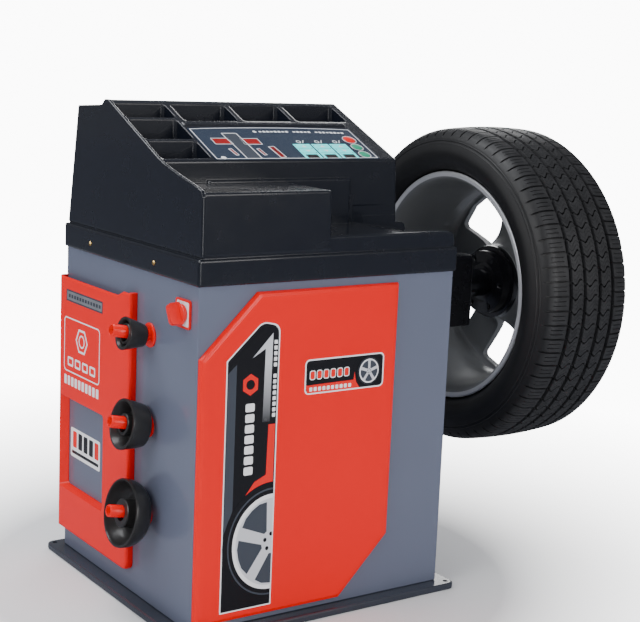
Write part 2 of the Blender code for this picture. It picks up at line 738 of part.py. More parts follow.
def mains_switch():
    face = -CABINET_X - GAP
    half = 0.0245
    plate = slab("switch_plate", [rounded_rectangle(KNOB_Y - half, KNOB_Z - half, KNOB_Y + half, KNOB_Z + half,
                                                    0.004)], "X", face - 0.0035, face)
    bevel(plate, 0.001, 1, 60)
    cut(plate, rod("plate_hole", 0.0065, (-0.30, KNOB_Y, KNOB_Z), (-0.25, KNOB_Y, KNOB_Z), 16))
    part(plate, "white_plastic")
    base = face - 0.0035 - GAP
    profile = [
        (0, 0.006), (0.0145, 0.006), (0.0160, 0.0045), (0.0160, 0), (0.0036, 0), (0.0036, -0.024), (0, -0.024),
    ]
    knob = turned("switch_knob", profile, place=along((-1, 0, 0), (base, KNOB_Y, KNOB_Z)))
    grip = box("knob_grip", (base - 0.026, -0.0045, -0.0195), (base - 0.003, 0.0045, 0.0195))
    bevel(grip, 0.003, 2)
    grip.matrix_world = Matrix.Translation((0, KNOB_Y, KNOB_Z)) @ Matrix.Rotation(math.radians(-27), 4, "X")
    join(knob, grip)
    part(knob, "red_button")
    inside = -CABINET_X + SHEET + GAP
    depth, half = 0.038, 0.021
    body = box("switch_body", (inside, KNOB_Y - half, KNOB_Z - half), (inside + depth, KNOB_Y + half, KNOB_Z + half))
    bevel(body, 0.001, 1)
    cut(body, rod("switch_bore", 0.0046, (-0.28, KNOB_Y, KNOB_Z), (-0.236, KNOB_Y, KNOB_Z), 16))
    part(body, "black_key")


# ---------------------------------------------------------------- spindle and drive

HOUSING_X = (-0.020, 0.470)
HOUSING_HALF = 0.080
HOUSING_Z = (0.4625, 0.608)
SENSOR_HEIGHT = 0.022
BEARING_OUT, BEARING_IN = 0.0360, 0.0204
SEAT_R = 0.0200
NECK_R = 0.029
REAR_SEAT_R = 0.012
DISC_X = (-0.046, -0.044)


def pedestal():
    """A folded steel column, open at the back, under the spindle housing."""
    low, top = PLATE_TOP + GAP, HOUSING_Z[0] - SENSOR_HEIGHT - 2 * GAP
    x0, x1, y = -0.010, 0.235, 0.100
    column = box("pedestal", (x0, -y, low), (x1, y, top))
    cut(column, box("pedestal_room", (x0 + 0.006, 0.006 - y, low + 0.008), (x1 - 0.006, 0.2, top - 0.008)))
    part(column, "motor_grey")


def force_sensors():
    for name, x in (("force_sensor_inner", 0.030), ("force_sensor_outer", 0.195)):
        low = HOUSING_Z[0] - SENSOR_HEIGHT - GAP
        part(rod(name, 0.015, (x, 0, low), (x, 0, HOUSING_Z[0] - GAP), 16), "steel")


def spindle_housing():
    low, high = HOUSING_Z
    outline = rounded([(-HOUSING_HALF, low, 0.004), (HOUSING_HALF, low, 0.004), (HOUSING_HALF, high, 0.014),
                       (-HOUSING_HALF, high, 0.014)], 3)
    housing = slab("spindle_housing", [outline], "X", *HOUSING_X)
    bevel(housing, 0.004, 2, 60)
    seat = 0.022
    x0, x1 = HOUSING_X
    bore = [(BEARING_OUT + GAP, x1 + 0.01), (BEARING_OUT + GAP, x1 - seat), (0.031, x1 - seat), (0.031, x0 + seat),
            (BEARING_OUT + GAP, x0 + seat), (BEARING_OUT + GAP, x0 - 0.01)]
    cut(housing, turned("housing_bore", [(0, bore[0][1])] + bore + [(0, bore[-1][1])], place=spindle_frame()))
    part(housing, "black_steel")


def bearings():
    length = 0.018
    for name, x in (("bearing_rear", HOUSING_X[0] + 0.003), ("bearing_front", HOUSING_X[1] - 0.003 - length)):
        ring = [(BEARING_OUT, x + length), (BEARING_OUT, x), (BEARING_IN, x), (BEARING_IN, x + length)]
        part(turned(name, ring, closed=True, place=spindle_frame()), "steel")


def spindle_shaft():
    x0, x1 = HOUSING_X
    profile = [
        (0, SHAFT_END_X), (STUB_R - 0.002, SHAFT_END_X), (STUB_R, SHAFT_END_X - 0.002), (STUB_R, 0.603),
        (0.0175, 0.603), (0.0175, 0.560), (NECK_R, 0.560), (NECK_R, 0.500), (0.026, 0.497), (0.026, 0.490),
        (NECK_R, 0.487), (NECK_R, x1 + 0.002), (SEAT_R, x1 + 0.002), (SEAT_R, x0 + 0.001),
        (REAR_SEAT_R, x0 + 0.001), (REAR_SEAT_R, -0.095), (0, -0.095),
    ]
    part(turned("spindle_shaft", profile, place=spindle_frame()), "steel")


def backing_flange():
    bore = 0.0175 + GAP
    profile = [
        (0.0745, 0.598), (0.0765, 0.596), (0.0765, 0.586), (0.0745, 0.584), (0.0665, 0.584), (0.0665, 0.566),
        (0.0645, 0.564), (0.042, 0.564), (0.038, 0.5605), (bore, 0.5605), (bore, 0.598),
    ]
    part(turned("backing_flange", profile, 24, closed=True, place=spindle_frame()), "black_steel")


def wheel_cone():
    """The centring cone in the wheel's bore, pushed in from outside."""
    bore = STUB_R + GAP
    profile = [(0.0300, 0.674), (0.0480, 0.672), (0.0480, 0.668), (0.0290, 0.624), (bore, 0.624), (bore, 0.674)]
    part(turned("wheel_cone", profile, closed=True, place=spindle_frame()), "dark_cone")


def quick_nut():
    bore = STUB_R + GAP
    profile = [
        (0.020, 0.735), (0.026, 0.732), (0.026, 0.706), (0.034, 0.702), (0.040, 0.692), (0.040, 0.677),
        (0.037, 0.6745), (bore, 0.6745), (bore, 0.735),
    ]
    nut = turned("quick_nut", profile, closed=True, place=spindle_frame())
    for sign in (-1, 1):
        start = Vector((0.717, 0, SPINDLE_Z + sign * 0.022))
        grip = bevel(rod("nut_grip", 0.0085, start, start + Vector((0.012, 0, sign * 0.048)), 12), 0.002, 1, 60)
        join(nut, grip)
    part(nut, "steel")


def pulley_profile(radius, bore):
    x0, x1 = PULLEY_X
    lip = 0.003
    return [
        (radius + lip, x1), (radius + lip, x1 - lip), (radius, x1 - lip), (radius, x0 + lip),
        (radius + lip, x0 + lip), (radius + lip, x0), (bore, x0), (bore, x1),
    ]


def drive_train():
    bore = REAR_SEAT_R + GAP
    motor_bore = 0.007 + GAP
    motor_frame = spindle_frame(MOTOR_Z)
    part(turned("spindle_pulley", pulley_profile(SPINDLE_PULLEY_R, bore), 24, closed=True,
                place=spindle_frame()), "steel")
    part(turned("motor_pulley", pulley_profile(MOTOR_PULLEY_R, motor_bore), closed=True,
                place=motor_frame), "steel")
    shaft_end = PULLEY_X[1] + 0.002
    part(rod("motor_shaft", 0.007, (-0.118, 0, MOTOR_Z), (shaft_end, 0, MOTOR_Z), 16), "steel",
         (0, 0, MOTOR_Z))
    disc = [(0.055, DISC_X[1]), (0.055, DISC_X[0]), (bore, DISC_X[0]), (bore, DISC_X[1])]
    part(turned("encoder_disc", disc, 24, closed=True, place=spindle_frame()), "steel")


def belt_outline(thickness):
    """A ring round both pulleys, joined by their outer tangents."""
    big = SPINDLE_PULLEY_R + 0.0006 + thickness
    small = MOTOR_PULLEY_R + 0.0006 + thickness
    lean = math.asin((big - small) / (SPINDLE_Z - MOTOR_Z))
    points = []
    steps = 16
    for i in range(steps + 1):
        turn = -lean + (math.pi + 2 * lean) * i / steps
        points.append((big * math.cos(turn), SPINDLE_Z + big * math.sin(turn)))
    for i in range(steps // 2 + 1):
        turn = math.pi + lean + (math.pi - 2 * lean) * 2 * i / steps
        points.append((small * math.cos(turn), MOTOR_Z + small * math.sin(turn)))
    return points


def drive_belt():
    x0, x1 = PULLEY_X
    edge = 0.0036
    outlines = [belt_outline(0.0026), belt_outline(0.0006)]
    part(slab("drive_belt", outlines, "X", x0 + edge, x1 - edge), "rubber")


def motor():
    profile = [
        (0, -0.1095), (0.050, -0.1095), (0.056, -0.116), (0.056, -0.222), (0.044, -0.234), (0, -0.234),
    ]
    body = turned("motor", profile, place=spindle_frame(MOTOR_Z))
    cut(body, rod("motor_nose_bore", 0.0085, (-0.125, 0, MOTOR_Z), (-0.09, 0, MOTOR_Z), 16))
    part(body, "motor_grey")
    low = PLATE_TOP + GAP
    bracket = box("motor_bracket", (-0.109, -0.070, low), (-0.104, 0.070, MOTOR_Z + 0.065))
    join(bracket, box("motor_foot", (-0.109, -0.070, low), (-0.040, 0.070, low + 0.005)))
    join(bracket, box("motor_rib", (-0.109, -0.070, low), (-0.060, -0.066, low + 0.07)))
    cut(bracket, rod("bracket_bore", 0.015, (-0.13, 0, MOTOR_Z), (-0.09, 0, MOTOR_Z), 16))
    part(bracket, "motor_grey")


def encoder_sensor():
    """A forked light gate that reads the disc, on the housing's rear face."""
    x1 = HOUSING_X[0] - GAP
    low, high = SPINDLE_Z + 0.046, SPINDLE_Z + 0.066
    fork = box("encoder_sensor", (-0.057, -0.010, low), (x1, 0.010, high))
    cut(fork, box("gate_slot", (DISC_X[0] - 0.0025, -0.02, low - 0.01), (DISC_X[1] + 0.0025, 0.02, SPINDLE_Z + 0.058)))
    part(fork, "black_key")


def power_board():
    """The supply board upright on the cabinet's right wall, with its transformer and capacitors."""
    face = CABINET_X - SHEET - 0.006
    board = box("power_board", (face - 0.0016, 0.110, 0.10), (face, 0.235, 0.36))
    join(board, box("transformer", (face - 0.050, 0.125, 0.12), (face - 0.001, 0.185, 0.19)))
    for i, z in enumerate((0.23, 0.27, 0.31)):
        join(board, rod("capacitor", 0.011, (face - 0.001, 0.155, z), (face - 0.034, 0.155, z), 12))
    for z in (0.115, 0.345):
        start = (face - 0.001, 0.225, z)
        join(board, rod("standoff", 0.004, start, (CABINET_X - SHEET - GAP, 0.225, z), 8))
    part(board, "circuit_green")


# ---------------------------------------------------------------- mounted wheel

SPOKES = 5
SPOKE_HALF = 0.040
FIRST_SPOKE = math.radians(18)
WINDOW_R = 0.1960


def rim_profile():
    """Closed section of the rim: tyre side, near flange, inside of the barrel, disc, front face."""
    near, far = WHEEL_X - RIM_HALF, WHEEL_X + RIM_HALF
    flange = RIM_FLANGE_R
    tyre_side = [
        (flange, far), (flange, far - 0.0065), (0.2200, far - 0.008), (0.2165, far - 0.012), (0.2130, far - 0.030),
        (0.1990, far - 0.050), (0.1990, near + 0.100), (0.2100, near + 0.080), (0.2130, near + 0.030),
        (0.2165, near + 0.012), (0.2200, near + 0.008), (flange, near + 0.0065), (flange, near),
    ]
    barrel = [
        (0.2290, near), (0.2165, near + 0.004), (0.2110, near + 0.014), (0.2065, near + 0.035),
        (0.2035, near + 0.078), (0.1930, near + 0.098), (0.1930, 0.612), (0.2040, 0.632),
    ]
    disc_back = [
        (0.2020, 0.645), (0.1500, 0.647), (0.1100, 0.642), (0.0920, 0.630), (0.0765, 0.614),
        (0.0765, HUB_FACE_X), (0.0365, HUB_FACE_X),
    ]
    face = [
        (0.0365, 0.640), (0.0600, 0.641), (0.0780, 0.648), (0.1100, 0.658), (0.1500, 0.6605),
        (0.2000, 0.6605), (0.2110, 0.652), (0.2235, far - 0.001),
    ]
    return tyre_side + barrel + disc_back + face


def window_outline(middle):
    """One opening between two spokes: straight sides along the spokes, a round outer end."""
    half_turn = math.pi / SPOKES
    spread = half_turn - math.asin(SPOKE_HALF / WINDOW_R)
    inner = SPOKE_HALF / math.sin(half_turn)

    def at(radius, turn):
        return (radius * math.cos(middle + turn), SPINDLE_Z + radius * math.sin(middle + turn))

    corners = [(*at(inner, 0), 0.022), (*at(WINDOW_R, -spread), 0.018), (*at(WINDOW_R + 0.003, -spread / 3), 0),
               (*at(WINDOW_R + 0.003, spread / 3), 0), (*at(WINDOW_R, spread), 0.018)]
    return rounded(corners, 4)


def rim():
    wheel = turned("rim", rim_profile(), WHEEL_STEPS, closed=True, place=spindle_frame())
    for i in range(SPOKES):
        middle = FIRST_SPOKE + (2 * i + 1) * math.pi / SPOKES
        cut(wheel, slab(f"spoke_window_{i}", [window_outline(middle)], "X", 0.59, 0.70))
    bolt_circle = 0.056
    for i in range(SPOKES):
        turn = FIRST_SPOKE + 2 * i * math.pi / SPOKES
        y, z = bolt_circle * math.cos(turn), SPINDLE_Z + bolt_circle * math.sin(turn)
        cut(wheel, rod(f"bolt_hole_{i}", 0.0075, (0.58, y, z), (0.66, y, z), 8))
    part(wheel, "alloy")


TREAD_HALF = 0.079
GROOVES = (0.0200, 0.0560)


def tread_r(away):
    """Radius of the tread at a distance from the wheel's middle plane."""
    return TYRE_R - 0.0035 * (away / TREAD_HALF) ** 2


def tyre_half():
    """Half the tyre's outer side, from the middle plane out to the bead toe."""
    depth, taper = 0.0075, 0.0012
    points = []
    half = 0.0048
    for groove in GROOVES:
        for away, down in ((groove - half, 0), (groove - half + taper, depth),
                           (groove + half - taper, depth), (groove + half, 0)):
            points.append((tread_r(away) - down, away))
    points += [
        (tread_r(TREAD_HALF), TREAD_HALF), (0.3212, 0.0900), (0.3160, 0.0995), (0.3045, 0.1105), (0.2900, 0.1195),
        (0.2740, 0.1230), (0.2590, 0.1195), (0.2470, 0.1110), (0.2395, 0.1020), (0.2360, 0.0943),
        (0.2205, 0.0924), (0.2172, 0.0884), (0.2140, 0.0727),
    ]
    return points


def tyre():
    outer = tyre_half()
    inner = [(0.2220, 0.0752), (0.2450, 0.0945), (0.2740, 0.1108), (0.3000, 0.0990), (0.3130, 0.0665)]
    half = outer + inner
    far = [(r, WHEEL_X + away) for r, away in half]
    near = [(r, WHEEL_X - away) for r, away in half]
    part(turned("tyre", far[len(outer) - 1::-1] + near + far[:len(outer) - 1:-1], WHEEL_STEPS, closed=True,
                place=spindle_frame()), "rubber")


def build():
    clear_scene()
    collection(PARTS)
    collection(CUTTERS, hidden=True)
    for make in (
        base_plate, cabinet_shell, rear_service_panel, mains_gland, cover_screws, top_cover, display_panel,
        digit_windows, key_caps, control_board, front_panel, side_panel, cone_pegs, spare_cones, mains_switch,
        pedestal, force_sensors, spindle_housing, bearings, spindle_shaft, backing_flange, wheel_cone,
        quick_nut, drive_train, drive_belt, motor, encoder_sensor, power_board, rim, tyre,
    ):
        make()
    bpy.context.view_layer.update()


build()
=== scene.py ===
"""Looks for the wheel balancer: finer shapes, printed films and procedural finishes on the fixed frame."""

import json
import math

import bmesh
import bpy
from mathutils import Matrix, Vector
from mathutils.bvhtree import BVHTree


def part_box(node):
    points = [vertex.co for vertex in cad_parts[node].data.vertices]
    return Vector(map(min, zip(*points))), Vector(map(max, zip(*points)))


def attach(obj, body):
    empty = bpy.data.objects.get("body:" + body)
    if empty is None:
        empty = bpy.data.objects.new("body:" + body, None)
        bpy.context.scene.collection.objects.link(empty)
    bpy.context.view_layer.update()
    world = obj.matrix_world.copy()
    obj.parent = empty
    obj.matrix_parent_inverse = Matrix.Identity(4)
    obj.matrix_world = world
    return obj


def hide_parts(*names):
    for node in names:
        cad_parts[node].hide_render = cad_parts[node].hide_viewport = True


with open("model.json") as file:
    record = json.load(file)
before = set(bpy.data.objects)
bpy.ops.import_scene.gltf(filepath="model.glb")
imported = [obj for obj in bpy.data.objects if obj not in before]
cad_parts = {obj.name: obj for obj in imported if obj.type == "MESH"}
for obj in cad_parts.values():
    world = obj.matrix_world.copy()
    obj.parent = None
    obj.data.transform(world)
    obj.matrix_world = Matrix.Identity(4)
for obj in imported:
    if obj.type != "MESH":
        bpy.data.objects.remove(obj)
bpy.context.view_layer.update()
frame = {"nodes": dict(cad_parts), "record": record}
NODES = frame["nodes"]
JOINTS = {joint["name"]: joint for joint in frame["record"]["behaviour"]["joints"]}
BODY_OF = {node: body for body, nodes in frame["record"]["behaviour"]["bodies"].items() for node in nodes}

AXIS = Vector(JOINTS["spindle_spin"]["pos_m"])
PEG_AXIS = Vector(JOINTS["hung_cone_small_off"]["axis"]).normalized()
PRESS_AXIS = Vector(JOINTS["stop_button_press"]["axis"]).normalized()
FILM = 0.00015            # thickness of a printed film


# ---------------------------------------------------------------- shader nodes

def new_material(name):
    material = bpy.data.materials.new(name)
    material.use_nodes = True
    return material, material.node_tree, material.node_tree.nodes["Principled BSDF"]


def feed(tree, made, inputs):
    """Sets inputs of a node, each to a plain value or to the output of another node."""
    for key, value in inputs.items():
        if isinstance(value, bpy.types.NodeSocket):
            tree.links.new(value, made.inputs[key])
        else:
            made.inputs[key].default_value = value


def node(tree, kind, inputs=None, **settings):
    made = tree.nodes.new(kind)
    for key, value in settings.items():
        setattr(made, key, value)
    feed(tree, made, inputs or {})
    return made


def own_place(tree):
    """The piece's own coordinates, in metres."""
    return node(tree, "ShaderNodeTexCoord").outputs["Object"]


def from_axis(tree):
    """The place as seen from the spindle's axis."""
    shift = node(tree, "ShaderNodeVectorMath", {0: own_place(tree), 1: AXIS}, operation="SUBTRACT")
    return shift.outputs["Vector"]


def noise(tree, scale, detail=3.0, stretch=None):
    """Noise in the piece's own coordinates, optionally stretched along an axis."""
    place = own_place(tree)
    if stretch:
        place = node(tree, "ShaderNodeMapping", {"Vector": place, "Scale": stretch}).outputs["Vector"]
    texture = node(tree, "ShaderNodeTexNoise", {"Vector": place, "Scale": scale, "Detail": detail})
    return texture.outputs["Fac"]


def ranged(tree, value, low, high, start=0.2, end=0.8):
    """A value between start and end brought to between low and high."""
    spread = node(tree, "ShaderNodeMapRange",
                  {"Value": value, "From Min": start, "From Max": end, "To Min": low, "To Max": high})
    return spread.outputs["Result"]


def blend_colours(tree, value, first, second):
    mixer = node(tree, "ShaderNodeMix", {"Factor": value, "A": (*first, 1), "B": (*second, 1)},
                 data_type="RGBA")
    return mixer.outputs["Result"]


def relief(tree, height, strength, distance=0.001):
    return node(tree, "ShaderNodeBump", {"Height": height, "Strength": strength, "Distance": distance})


def shaded(colour, amount):
    """A colour made darker or lighter by an amount."""
    return tuple(min(1.0, c * amount) for c in colour)


def surface(name, colour, roughness, metallic=0.0, tint=0.1, patch=5.0, grain=0.02, grain_size=600.0,
            spread=0.03, coat=0.0, stretch=None, edge=0.0):
    """A finish with cloudy colour and roughness, a fine grain in relief, and edges that shade as rounded."""
    material, tree, shader = new_material(name)
    clouds = ranged(tree, noise(tree, patch), 0, 1)
    bump = relief(tree, noise(tree, grain_size, 2.0, stretch), grain)
    feed(tree, shader, {
        "Base Color": blend_colours(tree, clouds, shaded(colour, 1 - tint), shaded(colour, 1 + tint)),
        "Roughness": ranged(tree, noise(tree, patch * 7), max(0.02, roughness - spread), roughness + spread),
        "Metallic": metallic,
        "Coat Weight": coat,
        "Coat Roughness": 0.09,
        "Normal": bump.outputs["Normal"],
    })
    if edge:
        soft = node(tree, "ShaderNodeBevel", {"Radius": edge}, samples=10).outputs["Normal"]
        feed(tree, bump, {"Normal": soft})
        feed(tree, shader, {"Coat Normal": soft})
    return material


def turned_metal(name, colour, roughness, metallic=1.0):
    """Metal with fine tool rings about the spindle's axis."""
    material, tree, shader = new_material(name)
    wave = node(tree, "ShaderNodeTexWave",
                {"Vector": from_axis(tree), "Scale": 45.0, "Distortion": 1.5, "Detail Scale": 3.0},
                wave_type="RINGS", rings_direction="X")
    rings = wave.outputs["Fac"]
    clouds = ranged(tree, noise(tree, 14.0), 0, 1)
    feed(tree, shader, {
        "Base Color": blend_colours(tree, clouds, shaded(colour, 0.82), shaded(colour, 1.15)),
        "Roughness": ranged(tree, rings, roughness - 0.06, roughness + 0.06, 0, 1),
        "Metallic": metallic,
        "Normal": relief(tree, rings, 0.06, 0.0005).outputs["Normal"],
    })
    return material


def tread_rubber(name, tread_radius):
    """Tyre rubber: deep black walls, and a slightly greyer, dustier tread."""
    material, tree, shader = new_material(name)
    flat = node(tree, "ShaderNodeVectorMath", {0: from_axis(tree), 1: (0, 1, 1)}, operation="MULTIPLY")
    radius = node(tree, "ShaderNodeVectorMath", {0: flat.outputs["Vector"]}, operation="LENGTH")
    on_tread = ranged(tree, radius.outputs["Value"], 0, 1, tread_radius, tread_radius + 0.008)
    dust = node(tree, "ShaderNodeMath", {0: on_tread, 1: noise(tree, 45.0, 4.0)}, operation="MULTIPLY")
    feed(tree, shader, {
        "Base Color": blend_colours(tree, dust.outputs[0], (0.0065, 0.0066, 0.0078), (0.033, 0.0335, 0.036)),
        "Roughness": ranged(tree, noise(tree, 18.0), 0.42, 0.56),
        "Normal": relief(tree, noise(tree, 900.0, 2.0), 0.12).outputs["Normal"],
    })
    return material


def gradient_film(name, low_colour, high_colour, low_z, high_z):
    """Printed film that fades between two colours from one height to another."""
    material, tree, shader = new_material(name)
    height = node(tree, "ShaderNodeSeparateXYZ", {0: own_place(tree)}).outputs["Z"]
    feed(tree, shader, {
        "Base Color": blend_colours(tree, ranged(tree, height, 0, 1, low_z, high_z), low_colour, high_colour),
        "Roughness": ranged(tree, noise(tree, 40.0), 0.21, 0.29),
    })
    return material


def glowing(name, colour, strength):
    """A surface that glows, brighter in patches: lit windows and figures, and a painted glow on prints that
    are no lamp.
    """
    material, tree, shader = new_material(name)
    tone = blend_colours(tree, ranged(tree, noise(tree, 60.0), 0, 1), shaded(colour, 0.75), colour)
    feed(tree, shader, {"Base Color": tone, "Emission Color": tone, "Emission Strength": strength,
                        "Roughness": 0.15})
    return material


MATERIALS = {}


def make_materials():
    made = MATERIALS
    made["cabinet"] = surface("cabinet_enamel", (0.128, 0.145, 0.205), 0.26, tint=0.04, patch=3, grain=0.006,
                              grain_size=260, spread=0.01, coat=0.3)
    made["plate"] = surface("plate_enamel", (0.04, 0.045, 0.06), 0.22, grain=0.05, grain_size=220, coat=0.4)
    made["cover"] = surface("moulded_gloss", (0.0055, 0.0074, 0.0135), 0.26, tint=0.08, patch=4, grain=0.01,
                            grain_size=420, coat=0.6, edge=0.0036)
    made["red"] = surface("red_enamel", (0.9, 0.0025, 0.001), 0.26, tint=0.04, patch=3, grain=0.006,
                          grain_size=240, spread=0.01, coat=0.12, edge=0.0018)
    made["red"].node_tree.nodes["Principled BSDF"].inputs["Specular IOR Level"].default_value = 0.3
    made["red_plastic"] = surface("red_plastic", (0.78, 0.006, 0.004), 0.3, tint=0.05, grain=0.05,
                                  grain_size=900)
    made["film"] = surface("panel_film", (0.026, 0.04, 0.068), 0.24, tint=0.06, grain=0.03, grain_size=1600)
    made["green"] = surface("green_button", (0.02, 0.33, 0.19), 0.3, grain=0.05, grain_size=900)
    # The cyan print is no lamp: its emission is a painted glow that makes it look bright.
    made["cyan"] = glowing("cyan_print_painted_glow", (0.13, 0.9, 0.93), 0.55)
    made["key_black"] = surface("black_key", (0.01, 0.01, 0.013), 0.32, grain=0.08, grain_size=1500)
    made["white"] = surface("white_print", (0.92, 0.93, 0.95), 0.3, tint=0.03, grain=0.02, grain_size=900)
    made["white_plastic"] = surface("white_plastic", (0.84, 0.85, 0.87), 0.34, tint=0.04, grain=0.06,
                                    grain_size=1200)
    made["black_print"] = surface("black_print", (0.006, 0.006, 0.008), 0.22, grain=0.02, grain_size=900)
    made["silver_print"] = surface("silver_print", (0.72, 0.74, 0.78), 0.3, metallic=0.2, grain=0.02)
    made["plate_print"] = surface("plate_print", (0.24, 0.245, 0.27), 0.3, metallic=0.3, tint=0.2, patch=30)
    made["grey_print"] = surface("grey_print", (0.05, 0.06, 0.078), 0.25, grain=0.02)
    made["red_print"] = surface("red_print", (0.85, 0.01, 0.006), 0.25, tint=0.05, grain=0.02)
    made["black_steel"] = surface("black_steel", (0.005, 0.005, 0.007), 0.28, grain=0.05, grain_size=330,
                                  coat=0.2)
    made["cone"] = surface("blackened_steel", (0.03, 0.029, 0.029), 0.36, metallic=0.3, tint=0.16, patch=30,
                           grain=0.06, grain_size=700, coat=0.2)
    made["alloy"] = surface("painted_alloy", (0.235, 0.242, 0.252), 0.42, metallic=0.35, tint=0.04, patch=8,
                            grain=0.01, grain_size=1800)
    made["lip"] = surface("rim_lip", (0.6, 0.61, 0.64), 0.3, metallic=0.4, tint=0.04, patch=8, grain=0.01,
                          grain_size=1800)
    made["machined"] = turned_metal("machined_steel", (0.42, 0.43, 0.46), 0.26)
    made["dark_turned"] = turned_metal("blackened_turned", (0.014, 0.015, 0.019), 0.26, metallic=0.3)
    made["black_turned"] = surface("black_flange", (0.006, 0.006, 0.008), 0.24, patch=20, grain=0.004,
                                   grain_size=900, coat=0.3)
    made["brass"] = surface("screw_brass", (0.62, 0.42, 0.16), 0.32, metallic=1.0, tint=0.2, patch=200)
    made["cast"] = surface("motor_casting", (0.13, 0.14, 0.15), 0.55, metallic=0.3, grain=0.3, grain_size=420)
    made["board"] = surface("circuit_board", (0.015, 0.11, 0.05), 0.4, tint=0.3, patch=90, grain=0.15)
    made["belt"] = surface("ribbed_belt", (0.016, 0.016, 0.017), 0.65, grain=0.35, grain_size=900,
                           stretch=(6, 1, 1))
    made["window"] = glowing("digit_window", (0.3, 0.012, 0.014), 0.15)
    made["lamp"] = glowing("bar_lamp", (0.55, 0.016, 0.014), 0.25)


# ---------------------------------------------------------------- shapes

def placed(name, data):
    obj = bpy.data.objects.new(name, data)
    bpy.context.scene.collection.objects.link(obj)
    return obj


def add(name, data, finish, instead=None, body="machine"):
    """A piece that stands instead of a fixed node and rides as that node does, or just rides on a body."""
    obj = placed(name, data)
    data.materials.clear()
    data.materials.append(MATERIALS[finish])
    if instead:
        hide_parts(instead)
        body = BODY_OF[instead]
    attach(obj, body)
    return obj


def add_turned(name, profile, steps, place, finish, instead=None, body="machine"):
    return add(name, turned_mesh(name, profile, steps, place), finish, instead, body)


def add_flat(name, outlines, low, high, place, finish, instead=None, body="machine"):
    return add(name, flat_mesh(name, outlines, low, high, place), finish, instead, body)


def finished_mesh(name, shape):
    bmesh.ops.recalc_face_normals(shape, faces=shape.faces)
    data = bpy.data.meshes.new(name)
    shape.to_mesh(data)
    shape.free()
    return data


def smooth(data, angle):
    data.shade_smooth()
    data.set_sharp_from_angle(angle=math.radians(angle))


def turned_mesh(name, profile, steps, place, angle=40):
    """A profile of (radius, height) spun about local Z; one that starts off the axis closes on itself."""
    shape = bmesh.new()
    ring = [shape.verts.new((r, 0, h)) for r, h in profile]
    pairs = list(zip(ring, ring[1:]))
    if profile[0][0] > 0:
        pairs.append((ring[-1], ring[0]))
    edges = [shape.edges.new(pair) for pair in pairs]
    bmesh.ops.spin(shape, geom=ring + edges, cent=(0, 0, 0), axis=(0, 0, 1), angle=2 * math.pi, steps=steps,
                   use_merge=True)
    bmesh.ops.remove_doubles(shape, verts=shape.verts, dist=0.00001)
    shape.transform(place)
    data = finished_mesh(name, shape)
    smooth(data, angle)
    return data


def flat_mesh(name, outlines, low, high, place):
    """Flat outlines (the first outside, the rest holes) given thickness, placed by a matrix."""
    curve = bpy.data.curves.new(name, "CURVE")
    curve.dimensions = "2D"
    curve.fill_mode = "BOTH"
    curve.extrude = (high - low) / 2
    for outline in outlines:
        spline = curve.splines.new("POLY")
        spline.points.add(len(outline) - 1)
        for point, (across, up) in zip(spline.points, outline):
            point.co = (across, up, 0, 1)
        spline.use_cyclic_u = True
    drawn = placed(name, curve)
    bpy.context.view_layer.update()
    evaluated = drawn.evaluated_get(bpy.context.evaluated_depsgraph_get())
    data = bpy.data.meshes.new_from_object(evaluated)
    bpy.data.objects.remove(drawn)
    bpy.data.curves.remove(curve)
    shape = bmesh.new()
    shape.from_mesh(data)
    bmesh.ops.remove_doubles(shape, verts=shape.verts, dist=0.00001)
    shape.transform(place @ Matrix.Translation((0, 0, (low + high) / 2)))
    bmesh.ops.recalc_face_normals(shape, faces=shape.faces)
    shape.to_mesh(data)
    shape.free()
    return data


def along(direction, origin):
    turn = Vector(direction).normalized().to_track_quat("Z", "Y").to_matrix().to_4x4()
    return Matrix.Translation(Vector(origin)) @ turn


def spindle_place():
    """Local Z along +X from the plane x = 0, on the spindle's axis."""
    return Matrix.Translation((0, AXIS.y, AXIS.z)) @ Matrix.Rotation(math.pi / 2, 4, "Y")


def arc(cx, cy, radius, start, end, steps):
    turns = [math.radians(start + (end - start) * i / steps) for i in range(steps + 1)]
    return [(cx + radius * math.cos(a), cy + radius * math.sin(a)) for a in turns]


def corner_arc(corner, before, after, radius, steps):
    corner, before, after = Vector(corner), Vector(before), Vector(after)
    back = (before - corner).normalized()
    ahead = (after - corner).normalized()
    half = back.angle(ahead) / 2
    reach = radius / math.tan(half)
    centre = corner + (back + ahead).normalized() * (radius / math.sin(half))
    first = corner + back * reach - centre
    last = corner + ahead * reach - centre
    sweep = first.angle_signed(last)
    points = []
    for i in range(steps + 1):
        arm = first.copy()
        arm.rotate(Matrix.Rotation(-sweep * i / steps, 2))
        points.append(tuple(centre + arm))
    return points


def rounded(corners, steps=6):
    """An outline from (x, y, radius) corners, with each radius made an arc."""
    points = []
    for i, (x, y, radius) in enumerate(corners):
        if radius == 0:
            points.append((x, y))
            continue
        before, after = corners[i - 1][:2], corners[(i + 1) % len(corners)][:2]
        points += corner_arc((x, y), before, after, radius, steps)
    return points


def rectangle(x0, y0, x1, y1, radius=0.0, steps=5):
    return rounded([(x0, y0, radius), (x1, y0, radius), (x1, y1, radius), (x0, y1, radius)], steps)


def framed(x0, y0, x1, y1, line, radius, inner_radius):
    """Two rectangles that leave a line of one width between them."""
    return [rectangle(x0, y0, x1, y1, radius),
            rectangle(x0 + line, y0 + line, x1 - line, y1 - line, inner_radius)]


def round_line(x, y, outer, inner, steps=35):
    """Two circles that leave a line between them."""
    return [arc(x, y, outer, 0, 350, steps), arc(x, y, inner, 0, 350, steps)]


def shifted(x, y, points):
    return [(x + across, y + up) for across, up in points]


def blocks(film, name, count, first, step, size, radius, finish, layer=1, skip=()):
    """A row of rounded blocks, each a step further on than the last."""
    for i in range(count):
        if i not in skip:
            x, y = first[0] + step[0] * i, first[1] + step[1] * i
            film(f"{name}_{i}", [rectangle(x, y, x + size[0], y + size[1], radius)], finish, layer)


